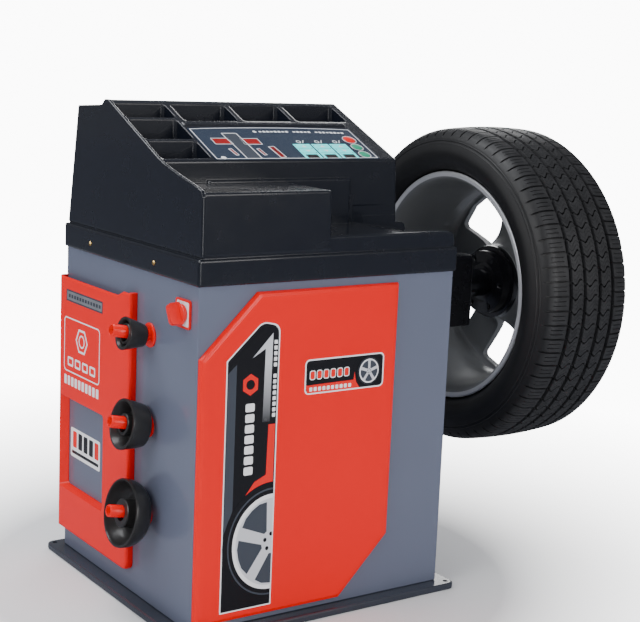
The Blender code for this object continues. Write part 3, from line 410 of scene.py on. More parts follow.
def curve_through(points, steps):
    """Catmull-Rom points through a list of points."""
    ends = [points[0]] + list(points) + [points[-1]]
    out = []
    for i in range(1, len(ends) - 2):
        p0, p1, p2, p3 = (Vector(p) for p in ends[i - 1:i + 3])
        for step in range(steps):
            t = step / steps
            out.append(tuple(0.5 * ((2 * p1) + (p2 - p0) * t + (2 * p0 - 5 * p1 + 4 * p2 - p3) * t * t
                                    + (3 * p1 - p0 - 3 * p2 + p3) * t ** 3)))
    return out + [tuple(points[-1])]


def bevel(obj, width, segments=3, angle=30):
    edge = obj.modifiers.new("soft_edges", "BEVEL")
    edge.width = width
    edge.segments = segments
    edge.limit_method = "ANGLE"
    edge.angle_limit = math.radians(angle)
    edge.harden_normals = True
    return obj


# ---------------------------------------------------------------- wheel

def wheel_middle():
    low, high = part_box("tyre")
    return (low.x + high.x) / 2, (high.z - low.z) / 2


PITCHES = 72
# Share of a pitch, and which cut the column lies in
COLUMNS = [(0.000, ""), (0.014, "wide"), (0.124, "wide"), (0.138, ""), (0.385, ""), (0.395, "fine"),
           (0.43, "fine"), (0.44, ""), (0.685, ""), (0.695, "fine"), (0.73, "fine"), (0.74, "")]
GROOVE_HALF = 0.0047
GROOVES = (0.02, 0.056)
TREAD_HALF = 0.079
CUT_END = 0.1085          # where the shoulder's cross cuts run out


def tread_top(radius, away):
    """Radius of the tread's gently crowned surface at a distance from its middle."""
    return radius - 0.0035 * (away / TREAD_HALF) ** 2


def tread_rows(radius):
    """Rows of (radius, across, shift, wide depth, fine depth) over the tread, from shoulder to shoulder."""
    inner, outer = GROOVES
    edges = [-TREAD_HALF, -outer, -inner, inner, outer, TREAD_HALF]
    rows = []
    for rib in range(5):
        start = edges[rib] + (GROOVE_HALF if rib > 0 else 0)
        end = edges[rib + 1] - (GROOVE_HALF if rib < 4 else 0)
        steps = 10 if 0 < rib < 4 else 6
        for i in range(steps + 1):
            share = i / steps
            away = start + (end - start) * share
            if rib in (0, 4):
                from_groove = outer - GROOVE_HALF - abs(away)
                shift = 0.26 * math.exp(from_groove / 0.005) * (1 if rib == 0 else -1)
                depths = (0.0056, 0.0034 if abs(away) > 0.068 else 0)
            else:
                shift = 0.2 * math.sin(2 * math.pi * share) + 0.12 * rib
                depths = (0.0062 if share < 0.82 else 0.001, 0.0006)
            rows.append((tread_top(radius, away), away, shift, *depths))
        if rib < 4:
            middle, floor, taper = edges[rib + 1], tread_top(radius, edges[rib + 1]) - 0.0075, 0.0012
            shift_after = 0.12 * (rib + 1) if rib < 3 else -0.26
            rows.append((floor, middle - GROOVE_HALF + taper, rows[-1][2], 0, 0))
            rows.append((floor, middle + GROOVE_HALF - taper, shift_after, 0, 0))
    return rows


def wall_rows(radius, side):
    """Rows down one sidewall, over the bead and across the inside, from the shoulder."""
    shoulder = curve_through([(tread_top(radius, TREAD_HALF), TREAD_HALF), (0.3212, 0.0893), (0.3165, 0.098),
                              (0.311, 0.1045), (0.301, 0.1108)], 3)[1:]
    rings = [(0.2998, 0.1112), (0.2985, 0.1132), (0.2972, 0.1136), (0.2962, 0.113), (0.2935, 0.1143),
             (0.2925, 0.116), (0.291, 0.1166)]
    rings += curve_through([(0.2895, 0.1172), (0.282, 0.12), (0.274, 0.1218), (0.264, 0.1206),
                            (0.254, 0.1165), (0.246, 0.11), (0.2405, 0.1025), (0.238, 0.0975)], 3)
    bead = [(0.2362, 0.0942), (0.2205, 0.0924), (0.2172, 0.0884), (0.2142, 0.0727)]
    inside = [(0.222, 0.0752), (0.245, 0.0945), (0.274, 0.1095), (0.3, 0.0985), (0.313, 0.066)]
    rows = []
    for r, away in shoulder:
        left = max(0.0, min(1.0, (CUT_END - away) / 0.008))
        rows.append((r, side * away, 0.0, 0.0052 * left, 0.0034 if away < 0.093 else 0))
    for r, away in rings + bead + inside:
        rows.append((r, side * away, 0.0, 0, 0))
    return rows


def tyre():
    """The tyre with its tread cut in relief: round grooves, wavy cross cuts and fine sipes."""
    middle, radius = wheel_middle()
    radius -= 0.0006
    rows = tread_rows(radius) + wall_rows(radius, 1) + wall_rows(radius, -1)[::-1]
    shape = bmesh.new()
    grid = []
    for r, away, shift, wide, fine in rows:
        depth = {"wide": wide, "fine": fine, "": 0}
        ring = []
        for pitch in range(PITCHES):
            for share, kind in COLUMNS:
                turn = 2 * math.pi * (pitch + share + shift) / PITCHES
                reach = r - depth[kind]
                ring.append(shape.verts.new((middle + away, AXIS.y + reach * math.cos(turn),
                                             AXIS.z + reach * math.sin(turn))))
        grid.append(ring)
    count = len(grid[0])
    for row, ring in enumerate(grid):
        following = grid[(row + 1) % len(grid)]
        for i in range(count):
            after = (i + 1) % count
            shape.faces.new((ring[i], ring[after], following[after], following[i]))
    data = finished_mesh("tyre_moulded", shape)
    smooth(data, 32)
    MATERIALS["tread"] = tread_rubber("tyre_rubber", tread_radius=0.312)
    add("tyre_moulded", data, "tread", "tyre")


SPOKES = 5
SPOKE_HALF = 0.04
LIP_R = 0.2232            # the bright lip starts here
FIRST_SPOKE = math.radians(18)
OPENING_R = 0.196


def rim_section():
    """Closed section of the rim in radius and place along the spindle."""
    low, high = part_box("rim")
    near, far = low.x, high.x
    tip = (high.z - low.z) / 2
    near_lip = arc(tip - 0.0028, near + 0.003, 0.0028, 80, -90, 5) + [(tip - 0.006, near + 0.0008)]
    far_lip = arc(tip - 0.0028, far - 0.003, 0.0028, 90, -80, 5)
    tyre_side = [(0.22, far - 0.008), (0.2165, far - 0.012), (0.213, far - 0.03), (0.1992, far - 0.05),
                 (0.1992, near + 0.1), (0.21, near + 0.08), (0.213, near + 0.03), (0.2165, near + 0.012),
                 (0.22, near + 0.008)]
    barrel = curve_through([(0.2255, near + 0.0016), (0.2205, near + 0.005), (0.215, near + 0.015),
                            (0.2105, near + 0.032), (0.2065, near + 0.052), (0.201, near + 0.078),
                            (0.1955, near + 0.104), (0.1935, near + 0.125), (0.194, 0.608), (0.1965, 0.619),
                            (0.202, 0.6325), (0.2035, 0.639), (0.201, 0.645)], 3)
    back = curve_through([(0.196, 0.6468), (0.15, 0.647), (0.115, 0.643), (0.098, 0.6345), (0.086, 0.621),
                          (0.079, 0.611), (0.0765, 0.604)], 3)
    back += [(0.0765, 0.5995), (0.0753, 0.5983), (0.0376, 0.5983), (0.0365, 0.5995)]
    face = [(0.0365, 0.639), (0.0376, 0.64), (0.059, 0.6408), (0.064, 0.642)]
    face += curve_through([(0.078, 0.648), (0.11, 0.6578), (0.15, 0.6603), (0.195, 0.6603), (0.204, 0.6575),
                           (0.211, 0.6535), (0.217, 0.656), (0.225, far - 0.001)], 2)
    return far_lip + tyre_side + near_lip + barrel + back + face


def opening_outline(middle):
    half_turn = math.pi / SPOKES
    spread = half_turn - math.asin(SPOKE_HALF / OPENING_R)
    inner = SPOKE_HALF / math.sin(half_turn)

    bulge = OPENING_R + 0.003
    corners = [(inner, 0, 0.014), (OPENING_R, -spread, 0.01), (bulge, -spread / 3, 0), (bulge, spread / 3, 0),
               (OPENING_R, spread, 0.01)]
    return rounded([(*around(radius, middle + turn), fillet) for radius, turn, fillet in corners])


def spindle_side():
    """Local X across the machine's depth, local Y up, local Z along the spindle."""
    return Matrix(((0, 0, 1, 0), (1, 0, 0, 0), (0, 1, 0, 0), (0, 0, 0, 1)))


def difference(obj, cutters):
    """Cuts meshes out of a piece and leaves it a plain mesh."""
    tools = []
    for data in cutters:
        tool = placed("tool", data)
        step = obj.modifiers.new("cut", "BOOLEAN")
        step.object = tool
        step.solver = "EXACT"
        tools.append(tool)
    bpy.context.view_layer.update()
    evaluated = obj.evaluated_get(bpy.context.evaluated_depsgraph_get())
    data = bpy.data.meshes.new_from_object(evaluated)
    obj.modifiers.clear()
    obj.data = data
    data.name = obj.name
    for tool in tools:
        bpy.data.objects.remove(tool)
    return obj


def rod_mesh(name, radius, y, z, start, end, steps):
    """A round rod along X."""
    length = end - start
    profile = [(0, length), (radius, length), (radius, 0), (0, 0)]
    return turned_mesh(name, profile, steps, along((length, 0, 0), (start, y, z)))


def around(radius, turn):
    """The (y, z) of a point at a radius and an angle about the spindle."""
    return radius * math.cos(turn), AXIS.z + radius * math.sin(turn)


def rim():
    data = turned_mesh("rim_cast", rim_section(), 96, spindle_place(), 35)
    wheel = add("rim_cast", data, "alloy", "rim")
    cutters = []
    for i in range(SPOKES):
        turn = FIRST_SPOKE + (2 * i + 1) * math.pi / SPOKES
        cutters.append(flat_mesh("opening", [opening_outline(turn)], 0.59, 0.7, spindle_side()))
        bolt = FIRST_SPOKE + 2 * i * math.pi / SPOKES
        cutters.append(rod_mesh("bolt_hole", 0.0075, *around(0.056, bolt), 0.58, 0.66, 20))
    difference(wheel, cutters)
    wheel.data.materials.clear()
    wheel.data.materials.append(MATERIALS["alloy"])
    wheel.data.materials.append(MATERIALS["lip"])
    for face in wheel.data.polygons:
        if math.hypot(face.center.y, face.center.z - AXIS.z) > LIP_R:
            face.material_index = 1
    bevel(wheel, 0.002, 3, 50)


# ---------------------------------------------------------------- spindle

def threaded(length_end, radius):
    """Section points of a thread that runs back from the shaft's end."""
    pitch, depth, turns = 0.004, 0.0009, 36
    points = []
    for i in range(turns):
        x = length_end - 0.006 - i * pitch
        points += [(radius, x), (radius - depth, x - pitch * 0.35), (radius - depth, x - pitch * 0.55)]
    return points


def shaft():
    stub, neck, seat, journal, tail = 0.014, 0.029, 0.0175, 0.02, 0.012
    low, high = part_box("spindle_shaft")
    section = [(0, high.x), (stub - 0.002, high.x), (stub, high.x - 0.002)] + threaded(high.x, stub)
    section += [(stub, 0.61), (stub, 0.603), (seat, 0.603), (seat, 0.5602), (neck - 0.001, 0.5602),
                (neck, 0.5592), (neck, 0.5), (0.0262, 0.4975), (0.0255, 0.4935), (0.0262, 0.4895),
                (neck, 0.487), (neck, 0.473), (neck - 0.001, 0.472), (journal, 0.472), (journal, -0.019),
                (tail, -0.019), (tail, low.x), (0, low.x)]
    add_turned("shaft_turned", section, 64, spindle_place(), "dark_turned", "spindle_shaft")


def flange():
    bore, face, step, hub = 0.0178, 0.0765, 0.0665, 0.044
    section = [(face - 0.0017, 0.598), (face - 0.0004, 0.5975), (face, 0.5963), (face, 0.5858),
               (face - 0.0004, 0.5845), (face - 0.0017, 0.584), (0.0668, 0.584), (step, 0.5836),
               (step, 0.5655), (step - 0.0005, 0.5645), (step - 0.0017, 0.564), (hub, 0.564),
               (hub - 0.0015, 0.5632), (0.038, 0.5608), (0.037, 0.5605), (bore, 0.5605), (bore, 0.598)]
    disc = add_turned("flange_turned", section, 96, spindle_place(), "black_turned", "backing_flange")
    holes = [rod_mesh("flange_hole", 0.0036, *around(0.0545, math.pi / 3 * i), 0.555, 0.576, 16)
             for i in range(6)]
    difference(disc, holes)


def cone_and_nut():
    bore, wide, body, collar = 0.0143, 0.048, 0.0258, 0.04
    cone = [(0.029, 0.674), (0.03, 0.6736), (wide - 0.001, 0.6724), (wide, 0.671), (wide, 0.669),
            (wide - 0.0006, 0.6675), (0.0296, 0.625), (0.0285, 0.624), (bore, 0.624), (bore, 0.674)]
    add_turned("centring_cone_turned", cone, 64, spindle_place(), "dark_turned", "wheel_cone")
    nut = [(0.0185, 0.735), (0.024, 0.734), (body, 0.731), (body, 0.707), (0.03, 0.704),
           (0.034, 0.702), (0.0385, 0.696), (collar, 0.691), (collar, 0.678), (0.039, 0.6755),
           (0.037, 0.6746), (bore, 0.6746), (bore, 0.735)]
    add_turned("quick_nut_turned", nut, 64, spindle_place(), "machined", "quick_nut")
    for sign, end in ((1, "upper"), (-1, "lower")):
        start = Vector((0.717, 0, AXIS.z + sign * 0.0215))
        reach = Vector((0.012, 0, sign * 0.048))
        length = reach.length
        grip = [(0, length), (0.005, length), (0.0075, length - 0.0012), (0.0085, length - 0.004),
                (0.0085, length - 0.012), (0.0072, length - 0.02), (0.007, 0.012), (0.0085, 0), (0, 0)]
        add_turned(f"nut_handle_{end}", grip, 32, along(reach, start), "key_black",
                   body=BODY_OF["quick_nut"])


# ---------------------------------------------------------------- pegs, spare cones and switch

LEVELS = {"top": "small", "middle": "medium", "low": "large"}
FOOT_R = 0.0218


def peg_start(level):
    """The middle of a peg's foot, on the cabinet's wall."""
    low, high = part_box(f"cone_peg_{level}")
    return Vector((high.x, (low.y + high.y) / 2, low.z + FOOT_R))


def pegs():
    """Red tubes with an open tip, each welded to a round foot."""
    radius, length = 0.011, 0.077
    tube = [(0, length - 0.01), (radius - 0.0028, length - 0.01), (radius - 0.0026, length - 0.0006),
            (radius - 0.002, length), (radius - 0.0008, length - 0.0003), (radius, length - 0.0014),
            (radius, 0.004), (0, 0.004)]
    foot = [(0, 0.0036), (0.015, 0.0036), (0.02, 0.0034), (0.0212, 0.0028), (FOOT_R, 0.0016), (FOOT_R, 0),
            (0, 0)]
    for level in LEVELS:
        start = peg_start(level)
        add_turned(f"peg_{level}_tube", tube, 48, along(PEG_AXIS, start), "red", f"cone_peg_{level}")
        add_turned(f"peg_{level}_foot", foot, 48, along((-1, 0, 0), start), "red")


def cone_section(size):
    """Closed section of one spare cone: rounded rim, outer side, back, bore, hub and hollow."""
    bore, length = 0.0143, 0.04
    if size == "large":
        wide = 0.061
        outer = [(wide - 0.002, length), (wide - 0.0005, length - 0.0006), (wide, length - 0.002),
                 (wide, length - 0.006)]
        outer += curve_through([(0.0606, 0.028), (0.058, 0.018), (0.0525, 0.0085), (0.0455, 0.0022),
                                (0.042, 0)], 4)
        hollow = [(0.024, length - 0.002), (0.0256, length - 0.0034), (0.0256, 0.0105), (0.027, 0.009),
                  (0.036, 0.009)]
        hollow += curve_through([(0.04, 0.01), (0.048, 0.018), (0.054, 0.03), (0.0566, 0.0385)], 4)
        return outer + [(bore, 0), (bore, length - 0.002)] + hollow + [(0.0575, length)]
    large, small, hub = {"medium": (0.0452, 0.0375, 0.0193), "small": (0.0292, 0.019, 0.018)}[size]
    inside = max(small - 0.006, hub + 0.0022)
    outer = [(large - 0.0018, length), (large - 0.0004, length - 0.0006), (large, length - 0.002),
             (small + 0.0012, 0.003), (small + 0.0003, 0.0008), (small - 0.001, 0)]
    hollow = [(hub - 0.001, length - 0.003), (hub, length - 0.004), (hub, 0.012), (inside, 0.012),
              (large - 0.0055, length - 0.001), (large - 0.0045, length)]
    return outer + [(bore, 0), (bore, length - 0.003)] + hollow


def spare_cones():
    """Each cone hangs on its peg by the top of its bore."""
    sag, along_peg = 0.003, 0.013
    down = Vector((-PEG_AXIS.z, 0, PEG_AXIS.x)).normalized()
    for level, size in LEVELS.items():
        start = peg_start(level) + PEG_AXIS * along_peg + down * sag
        add_turned(f"cone_{size}_turned", cone_section(size), 80, along(PEG_AXIS, start), "cone",
                   f"spare_cone_{size}")


def side_place():
    """X to the back, Y up, Z out of the left side."""
    return Matrix(((0, 0, -1, 0), (1, 0, 0, 0), (0, 1, 0, 0), (0, 0, 0, 1)))


def switch():
    """Red-edged white plate and a red knob with a pointer grip."""
    low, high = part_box("switch_plate")
    y, z = (low.y + high.y) / 2, (low.z + high.z) / 2
    half = (high.y - low.y) / 2
    out = -high.x
    edge, face = framed(y - half, z - half, y + half, z + half, 0.0035, 0.005, 0.003)
    hole = arc(y, z, 0.0065, 0, 345, 23)
    border = add_flat("switch_frame", [edge, face], out, out + 0.0035, side_place(), "red_plastic",
                      "switch_plate")
    bevel(border, 0.0008, 2)
    add_flat("switch_face", [face, hole], out, out + 0.0028, side_place(), "white_plastic")
    base = -low.x + 0.0003
    radius, stem, drop = 0.016, 0.0036, -0.024
    disc = [(0, 0.0062), (0.0135, 0.0062), (0.0152, 0.0056), (radius, 0.0044), (radius, 0.0004), (0.0157, 0),
            (stem, 0), (stem, drop), (0, drop)]
    add_turned("switch_knob_disc", disc, 64, along((-1, 0, 0), (-base, y, z)), "red_plastic", "switch_knob")
    height = -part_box("switch_knob")[0].x - base
    outline = rounded([(-0.0195, 0.003, 0.001), (0.0195, 0.003, 0.001), (0.018, height, 0.007),
                       (-0.018, height, 0.007)])
    turn = Matrix.Translation((0, y, z)) @ Matrix.Rotation(math.radians(-27), 4, "X")
    lying = Matrix(((0, -1, 0, -base), (0, 0, 1, 0), (1, 0, 0, 0), (0, 0, 0, 1)))
    grip = add_flat("switch_knob_grip", [outline], -0.0045, 0.0045, turn @ lying, "red_plastic",
                    body=BODY_OF["switch_knob"])
    bevel(grip, 0.0016, 3, 50)


# ---------------------------------------------------------------- display

def console_place():
    """X to the right, Y up the sloping panel from its front edge, Z out of its top face."""
    low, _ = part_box("display_panel")
    out = -PRESS_AXIS
    up = out.cross(Vector((1, 0, 0)))
    thickness = 0.002
    origin = Vector((0, low.y, low.z + thickness * out.z))
    turn = Matrix((Vector((1, 0, 0)), up, out)).transposed().to_4x4()
    return Matrix.Translation(origin) @ turn


def film_on(name, outlines, finish, layer=1, body="machine", place=None):
    """A printed shape on the display panel; higher layers lie on lower ones."""
    return add_flat(name, outlines, (layer - 1) * FILM, layer * FILM, place or console_place(), finish,
                    body=body)


def band(points, width):
    """The outline of a stripe of constant width along a line of points."""
    left, right = [], []
    for i, point in enumerate(points):
        before = Vector(points[max(0, i - 1)])
        after = Vector(points[min(len(points) - 1, i + 1)])
        side = (after - before).normalized().orthogonal() * width / 2
        left.append(tuple(Vector(point) + side))
        right.append(tuple(Vector(point) - side))
    return left + right[::-1]


def panel_span():
    low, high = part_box("display_panel")
    return low.x, high.x


def bowed(x, side):
    """Height at x of a printed line that bows upwards between the panel's sides."""
    left, right = panel_span()
    across = (x - (left + right) / 2) / ((right - left) / 2)
    return side + 0.006 * (1 - across * across)


def panel_border():
    left, right = panel_span()
    edge, line, foot, top, steps = 0.003, 0.0015, 0.0022, 0.1135, 12
    low, high = left + edge, right - edge
    outer = [(x, bowed(x, top)) for x in (low + (high - low) * i / steps for i in range(steps + 1))]
    inner = [(min(max(x, low + line), high - line), up - line) for x, up in outer]
    film_on("panel_border", [[(low, foot)] + outer + [(high, foot)],
                             [(low + line, foot + line)] + inner + [(high - line, foot + line)]], "white")


def panel_title():
    """A stripe with a plain mark and a row of blocks where a title would be."""
    height = 0.0975
    stripe = [(x, bowed(x, height)) for x in (-0.022 + 0.2 * i / 10 for i in range(11))]
    film_on("title_stripe", [band(stripe, 0.0085)], "film")
    film_on("title_mark", [arc(-0.0195, bowed(-0.0195, height), 0.0042, 0, 300, 5)], "white", 2)
    for i in range(23):
        x = -0.01 + 0.0083 * i
        up = bowed(x, height)
        half = 0.003 if i % 3 else 0.0022
        if i not in (8, 14):
            film_on(f"title_block_{i}", [rectangle(x, up - half, x + 0.0058, up + half, 0.001)], "white", 2)


def rim_drawing():
    """A rim's section, drawn between the two digit windows."""
    line = 0.0017
    near = [(-0.0935, 0.0965), (-0.0925, 0.076), (-0.0905, 0.056), (-0.0895, 0.033), (-0.0885, 0.003)]
    far = [(x + 0.031, up) for x, up in near]
    film_on("rim_drawing_fill", [near + far[::-1]], "grey_print")
    sides = {"left": near, "right": far, "top": [near[0], far[0]], "bottom": [near[-1], far[-1]]}
    for name, points in sides.items():
        film_on(f"rim_drawing_{name}", [band(points, line)], "white", 2)


def bar_windows():
    """Two slanting red bars, and an upright window with dark lines across it."""
    for side, (x_top, x_low) in {"left": (-0.1056, -0.1015), "right": (-0.047, -0.043)}.items():
        film_on(f"slant_bar_{side}_white", [band([(x_top, 0.0395), (x_low, 0.015)], 0.0072)], "white")
        inside = [(x_top + 0.0003, 0.038), (x_low - 0.0003, 0.0165)]
        film_on(f"slant_bar_{side}_red", [band(inside, 0.0042)], "window", 2)
    film_on("bar_window_line", [band([(-0.0148, 0.0475), (-0.0097, 0.006)], 0.0135)], "white")
    film_on("bar_window", [band([(-0.0145, 0.046), (-0.01, 0.0075)], 0.01)], "window", 2)
    blocks(film_on, "bar_segment", 7, (-0.0186, 0.0414), (0.0045 / 7, -0.0053), (0.0092, 0.0012), 0,
           "black_print", 3)


def display_prints():
    panel_border()
    panel_title()
    rim_drawing()
    bar_windows()
    film_on("mode_dot", [arc(-0.135, 0.0065, 0.0052, 0, 350, 35)], "white")


SEGMENTS = {
    "a": ((-0.5, 1.0), (0.5, 1.0)), "g": ((-0.5, 0.0), (0.5, 0.0)), "d": ((-0.5, -1.0), (0.5, -1.0)),
    "f": ((-0.5, 0.9), (-0.5, 0.1)), "b": ((0.5, 0.9), (0.5, 0.1)),
    "e": ((-0.5, -0.1), (-0.5, -0.9)), "c": ((0.5, -0.1), (0.5, -0.9)),
}
ZERO = "abcdef"


def console_xy(point):
    return console_place().inverted() @ Vector(point)


def digit_windows():
    """A white line round each window, and three lit figures in it."""
    for side in ("left", "right"):
        low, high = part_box(f"{side}_digit_window")
        centre = console_xy((low + high) / 2)
        w, h = (high.x - low.x) / 2 + 0.0014, 0.0116
        film_on(f"window_line_{side}", framed(centre.x - w, centre.y - h, centre.x + w, centre.y + h, 0.0013,
                                              0.0012, 0.0008), "white")
        for i in range(3):
            x = centre.x + (i - 1) * 0.0105
            for key in ZERO:
                line = [(x + across * 0.0056, centre.y + up * 0.0062) for across, up in SEGMENTS[key]]
                film_on(f"figure_{side}_{i}_{key}", [band(line, 0.0011)], "lamp")


def key_columns():
    """For each column of keys, each row's node name, middle and half width."""
    columns = {}
    for name in NODES:
        if name.startswith("key_"):
            low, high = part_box(name)
            column, row = name.split("_")[1:]
            columns.setdefault(column, {})[row] = (name, console_xy((low + high) / 2), (high.x - low.x) / 2)
    return columns


def key_print():
    """Cyan fields with painted glow under the keys, an arrow on each arrow key, a small drawing over each
    column.
    """
    field, key_top = 0.0188, 0.00125
    on_key = console_place() @ Matrix.Translation((0, 0, key_top))
    for column, rows in key_columns().items():
        x = rows["up"][1].x
        holes = [rectangle(m.x - w - 0.0009, m.y - 0.0071, m.x + w + 0.0009, m.y + 0.0071, 0.002, 2)
                 for _, m, w in rows.values()]
        outer = rectangle(x - field, 0.0026, x + field, 0.0562, 0.002)
        film_on(f"key_field_{column}", [outer] + holes, "cyan")
        for row, sign in (("up", 1), ("down", -1)):
            name, middle, _ = rows[row]
            foot, tip = middle.y - sign * 0.003, middle.y + sign * 0.0034
            arrow = [(x - 0.0055, foot), (x + 0.0055, foot), (x, tip)]
            film_on(f"key_arrow_{column}_{row}", [arrow], "white", 1, BODY_OF[name], on_key)
        film_on(f"key_icon_{column}", round_line(x, 0.065, 0.005, 0.0034, 25), "white")
        film_on(f"key_icon_line_{column}", [band([(x + 0.007, 0.06), (x + 0.013, 0.0705)], 0.0016)], "white")


def round_buttons():
    """Domed buttons with a pale ring printed round each."""
    for name in ("stop_button", "start_button", "program_button"):
        low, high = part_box(name)
        middle = console_xy((low + high) / 2)
        radius, depth = (high.x - low.x) / 2, -0.0046
        dome = [(0, 0.0022), (radius * 0.5, 0.0021), (radius * 0.8, 0.0017), (radius * 0.95, 0.001),
                (radius, 0.0002), (radius, depth), (0, depth)]
        place = console_place() @ Matrix.Translation((middle.x, middle.y, 0))
        add_turned(f"{name}_dome", dome, 48, place, "red_plastic" if name == "stop_button" else "green", name)
        film_on(f"{name}_ring", round_line(middle.x, middle.y, radius + 0.0022, radius + 0.001), "white")


# ---------------------------------------------------------------- printed labels

def front_place():
    """X to the right, Y up, Z out of the front, from the world origin's column."""
    return Matrix(((1, 0, 0, 0), (0, 0, -1, 0), (0, 1, 0, 0), (0, 0, 0, 1)))


def lay_on_front(data, layer):
    """Divides a label finely and lays it on the front panel's own folded face."""
    panel = NODES["front_panel"].data
    tree = BVHTree.FromPolygons([v.co for v in panel.vertices], [f.vertices for f in panel.polygons])
    shape = bmesh.new()
    shape.from_mesh(data)
    step = 0.012
    for axis in (0, 2):
        reach = [vertex.co[axis] for vertex in shape.verts]
        for i in range(math.ceil(min(reach) / step), math.floor(max(reach) / step) + 1):
            normal = (1, 0, 0) if axis == 0 else (0, 0, 1)
            bmesh.ops.bisect_plane(shape, geom=shape.verts[:] + shape.edges[:] + shape.faces[:],
                                   plane_co=Vector(normal) * i * step, plane_no=normal)
    for vertex in shape.verts:
        start = Vector((vertex.co.x, -1.0, vertex.co.z))
        place, _, _, _ = tree.ray_cast(start, Vector((0, 1, 0)))
        lift = FILM * layer if vertex.co.y < 0 else FILM * (layer - 1)
        vertex.co.y = place.y - lift
    shape.to_mesh(data)
    shape.free()
    return data


def front_film(name, outlines, finish, layer=1):
    data = flat_mesh(name, outlines, -0.5, 0.5, front_place())
    return add(name, lay_on_front(data, layer), finish)


def clip_right(points, limit):
    """An outline cut off at a straight right-hand edge."""
    kept = []
    for i, point in enumerate(points):
        after = points[(i + 1) % len(points)]
        if point[0] <= limit:
            kept.append(point)
        if (point[0] - limit) * (after[0] - limit) < 0:
            share = (limit - point[0]) / (after[0] - point[0])
            kept.append((limit, point[1] + share * (after[1] - point[1])))
    return kept


def drawn_wheel(name, centre, radius, squash, limit, layer):
    """A printed wheel: tyre, bright rim, dark openings between five spokes, hub and bolts."""

    def spot(angle, share, x=0, z=0):
        """A point of the wheel, or one beside it, in shares of the radius."""
        return (centre[0] + (math.cos(angle) * share + x) * radius * squash,
                centre[1] + (math.sin(angle) * share + z) * radius)

    def show(label, outline, finish, step):
        outline = clip_right(outline, limit)
        if len(outline) > 2:
            front_film(f"{name}_{label}", [outline], finish, layer + step)

    discs = [("tyre", 1.0, "black_print"), ("wall", 0.9, "grey_print"), ("wall_inner", 0.87, "black_print"),
             ("rim", 0.8, "white"), ("rim_inner", 0.73, "silver_print")]
    for step, (label, share, finish) in enumerate(discs):
        show(label, [spot(2 * math.pi * i / 64, share) for i in range(64)], finish, step)
    corners = ((-27, 0.68), (-14, 0.7), (0, 0.7), (14, 0.7), (27, 0.68), (9, 0.2), (-9, 0.2))
    for i in range(SPOKES):
        sector = [spot(math.radians(126 + 72 * i + turn), share) for turn, share in corners]
        show(f"opening_{i}", sector, "grey_print", 5)
        bolt = math.radians(90 + 72 * i)
        dot = [spot(bolt, 0.13, x, z) for x, z in arc(0, 0, 0.035, 0, 330, 11)]
        show(f"bolt_{i}", dot, "black_print", 6)


def tall_label():
    """The long black label on the front: white edge, silver arrow, plain blocks and a printed wheel."""
    low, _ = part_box("front_panel")
    left, right, foot = low.x + 0.0485, low.x + 0.1525, low.z
    line = 0.0024

    def outline(inset):
        bottom, top = foot + 0.0175 + inset, foot + 0.506 - inset
        return rounded([(left + inset, bottom, 0.001), (right - inset, bottom, 0.001),
                        (right - inset, top + 0.012, 0.016), (left + 0.068 + inset * 0.3, top + 0.019, 0.02),
                        (left + inset, foot + 0.462 - inset * 0.4, 0.002)], 5)

    front_film("tall_label_edge", [outline(0), outline(line)], "white")
    front_film("tall_label_field", [outline(line)], "black_print")
    side_band = [(0.0035, 0.16), (0.02, 0.2), (0.02, 0.455), (0.0035, 0.44)]
    front_film("tall_label_band", [shifted(left, foot, side_band)], "grey_print", 2)
    MATERIALS["fading_silver"] = gradient_film("fading_silver", (0.01, 0.011, 0.014), (0.62, 0.64, 0.68),
                                               foot + 0.345, foot + 0.455)
    arrow = [(-0.014, 0.504), (-0.0155, 0.35), (-0.03, 0.35), (-0.028, 0.478), (-0.053, 0.464)]
    front_film("tall_label_arrow", [shifted(right, foot, arrow)], "fading_silver", 2)
    middle, height = left + 0.048, foot + 0.418
    hexagon = [(middle + x * 0.017, height + z * 0.019) for x, z in arc(0, 0, 1, 30, 330, 5)]
    front_film("tall_label_nut", [hexagon, arc(middle, height, 0.0085, 0, 350, 35)], "red_print", 2)
    blocks(front_film, "tall_label_block", 7, (left + 0.0395, foot + 0.3708), (0, -0.0185), (0.018, 0.0144),
           0.003, "white", 2)
    blocks(front_film, "tall_label_tick", 14, (right - 0.011, foot + 0.4846), (0, -0.0098), (0.0065, 0.0068),
           0.0012, "white", 2, [5])
    sweep = [(-0.0175, 0.345), (-0.004, 0.345), (-0.0045, 0.236), (-0.034, 0.224), (-0.08, 0.182),
             (-0.059, 0.224), (-0.042, 0.246), (-0.0195, 0.256)]
    front_film("tall_label_sweep", [shifted(right, foot, sweep)], "red_print", 2)
    drawn_wheel("tall_label_wheel", (right - 0.005, foot + 0.134), 0.108, 0.9, right - 0.003, 3)


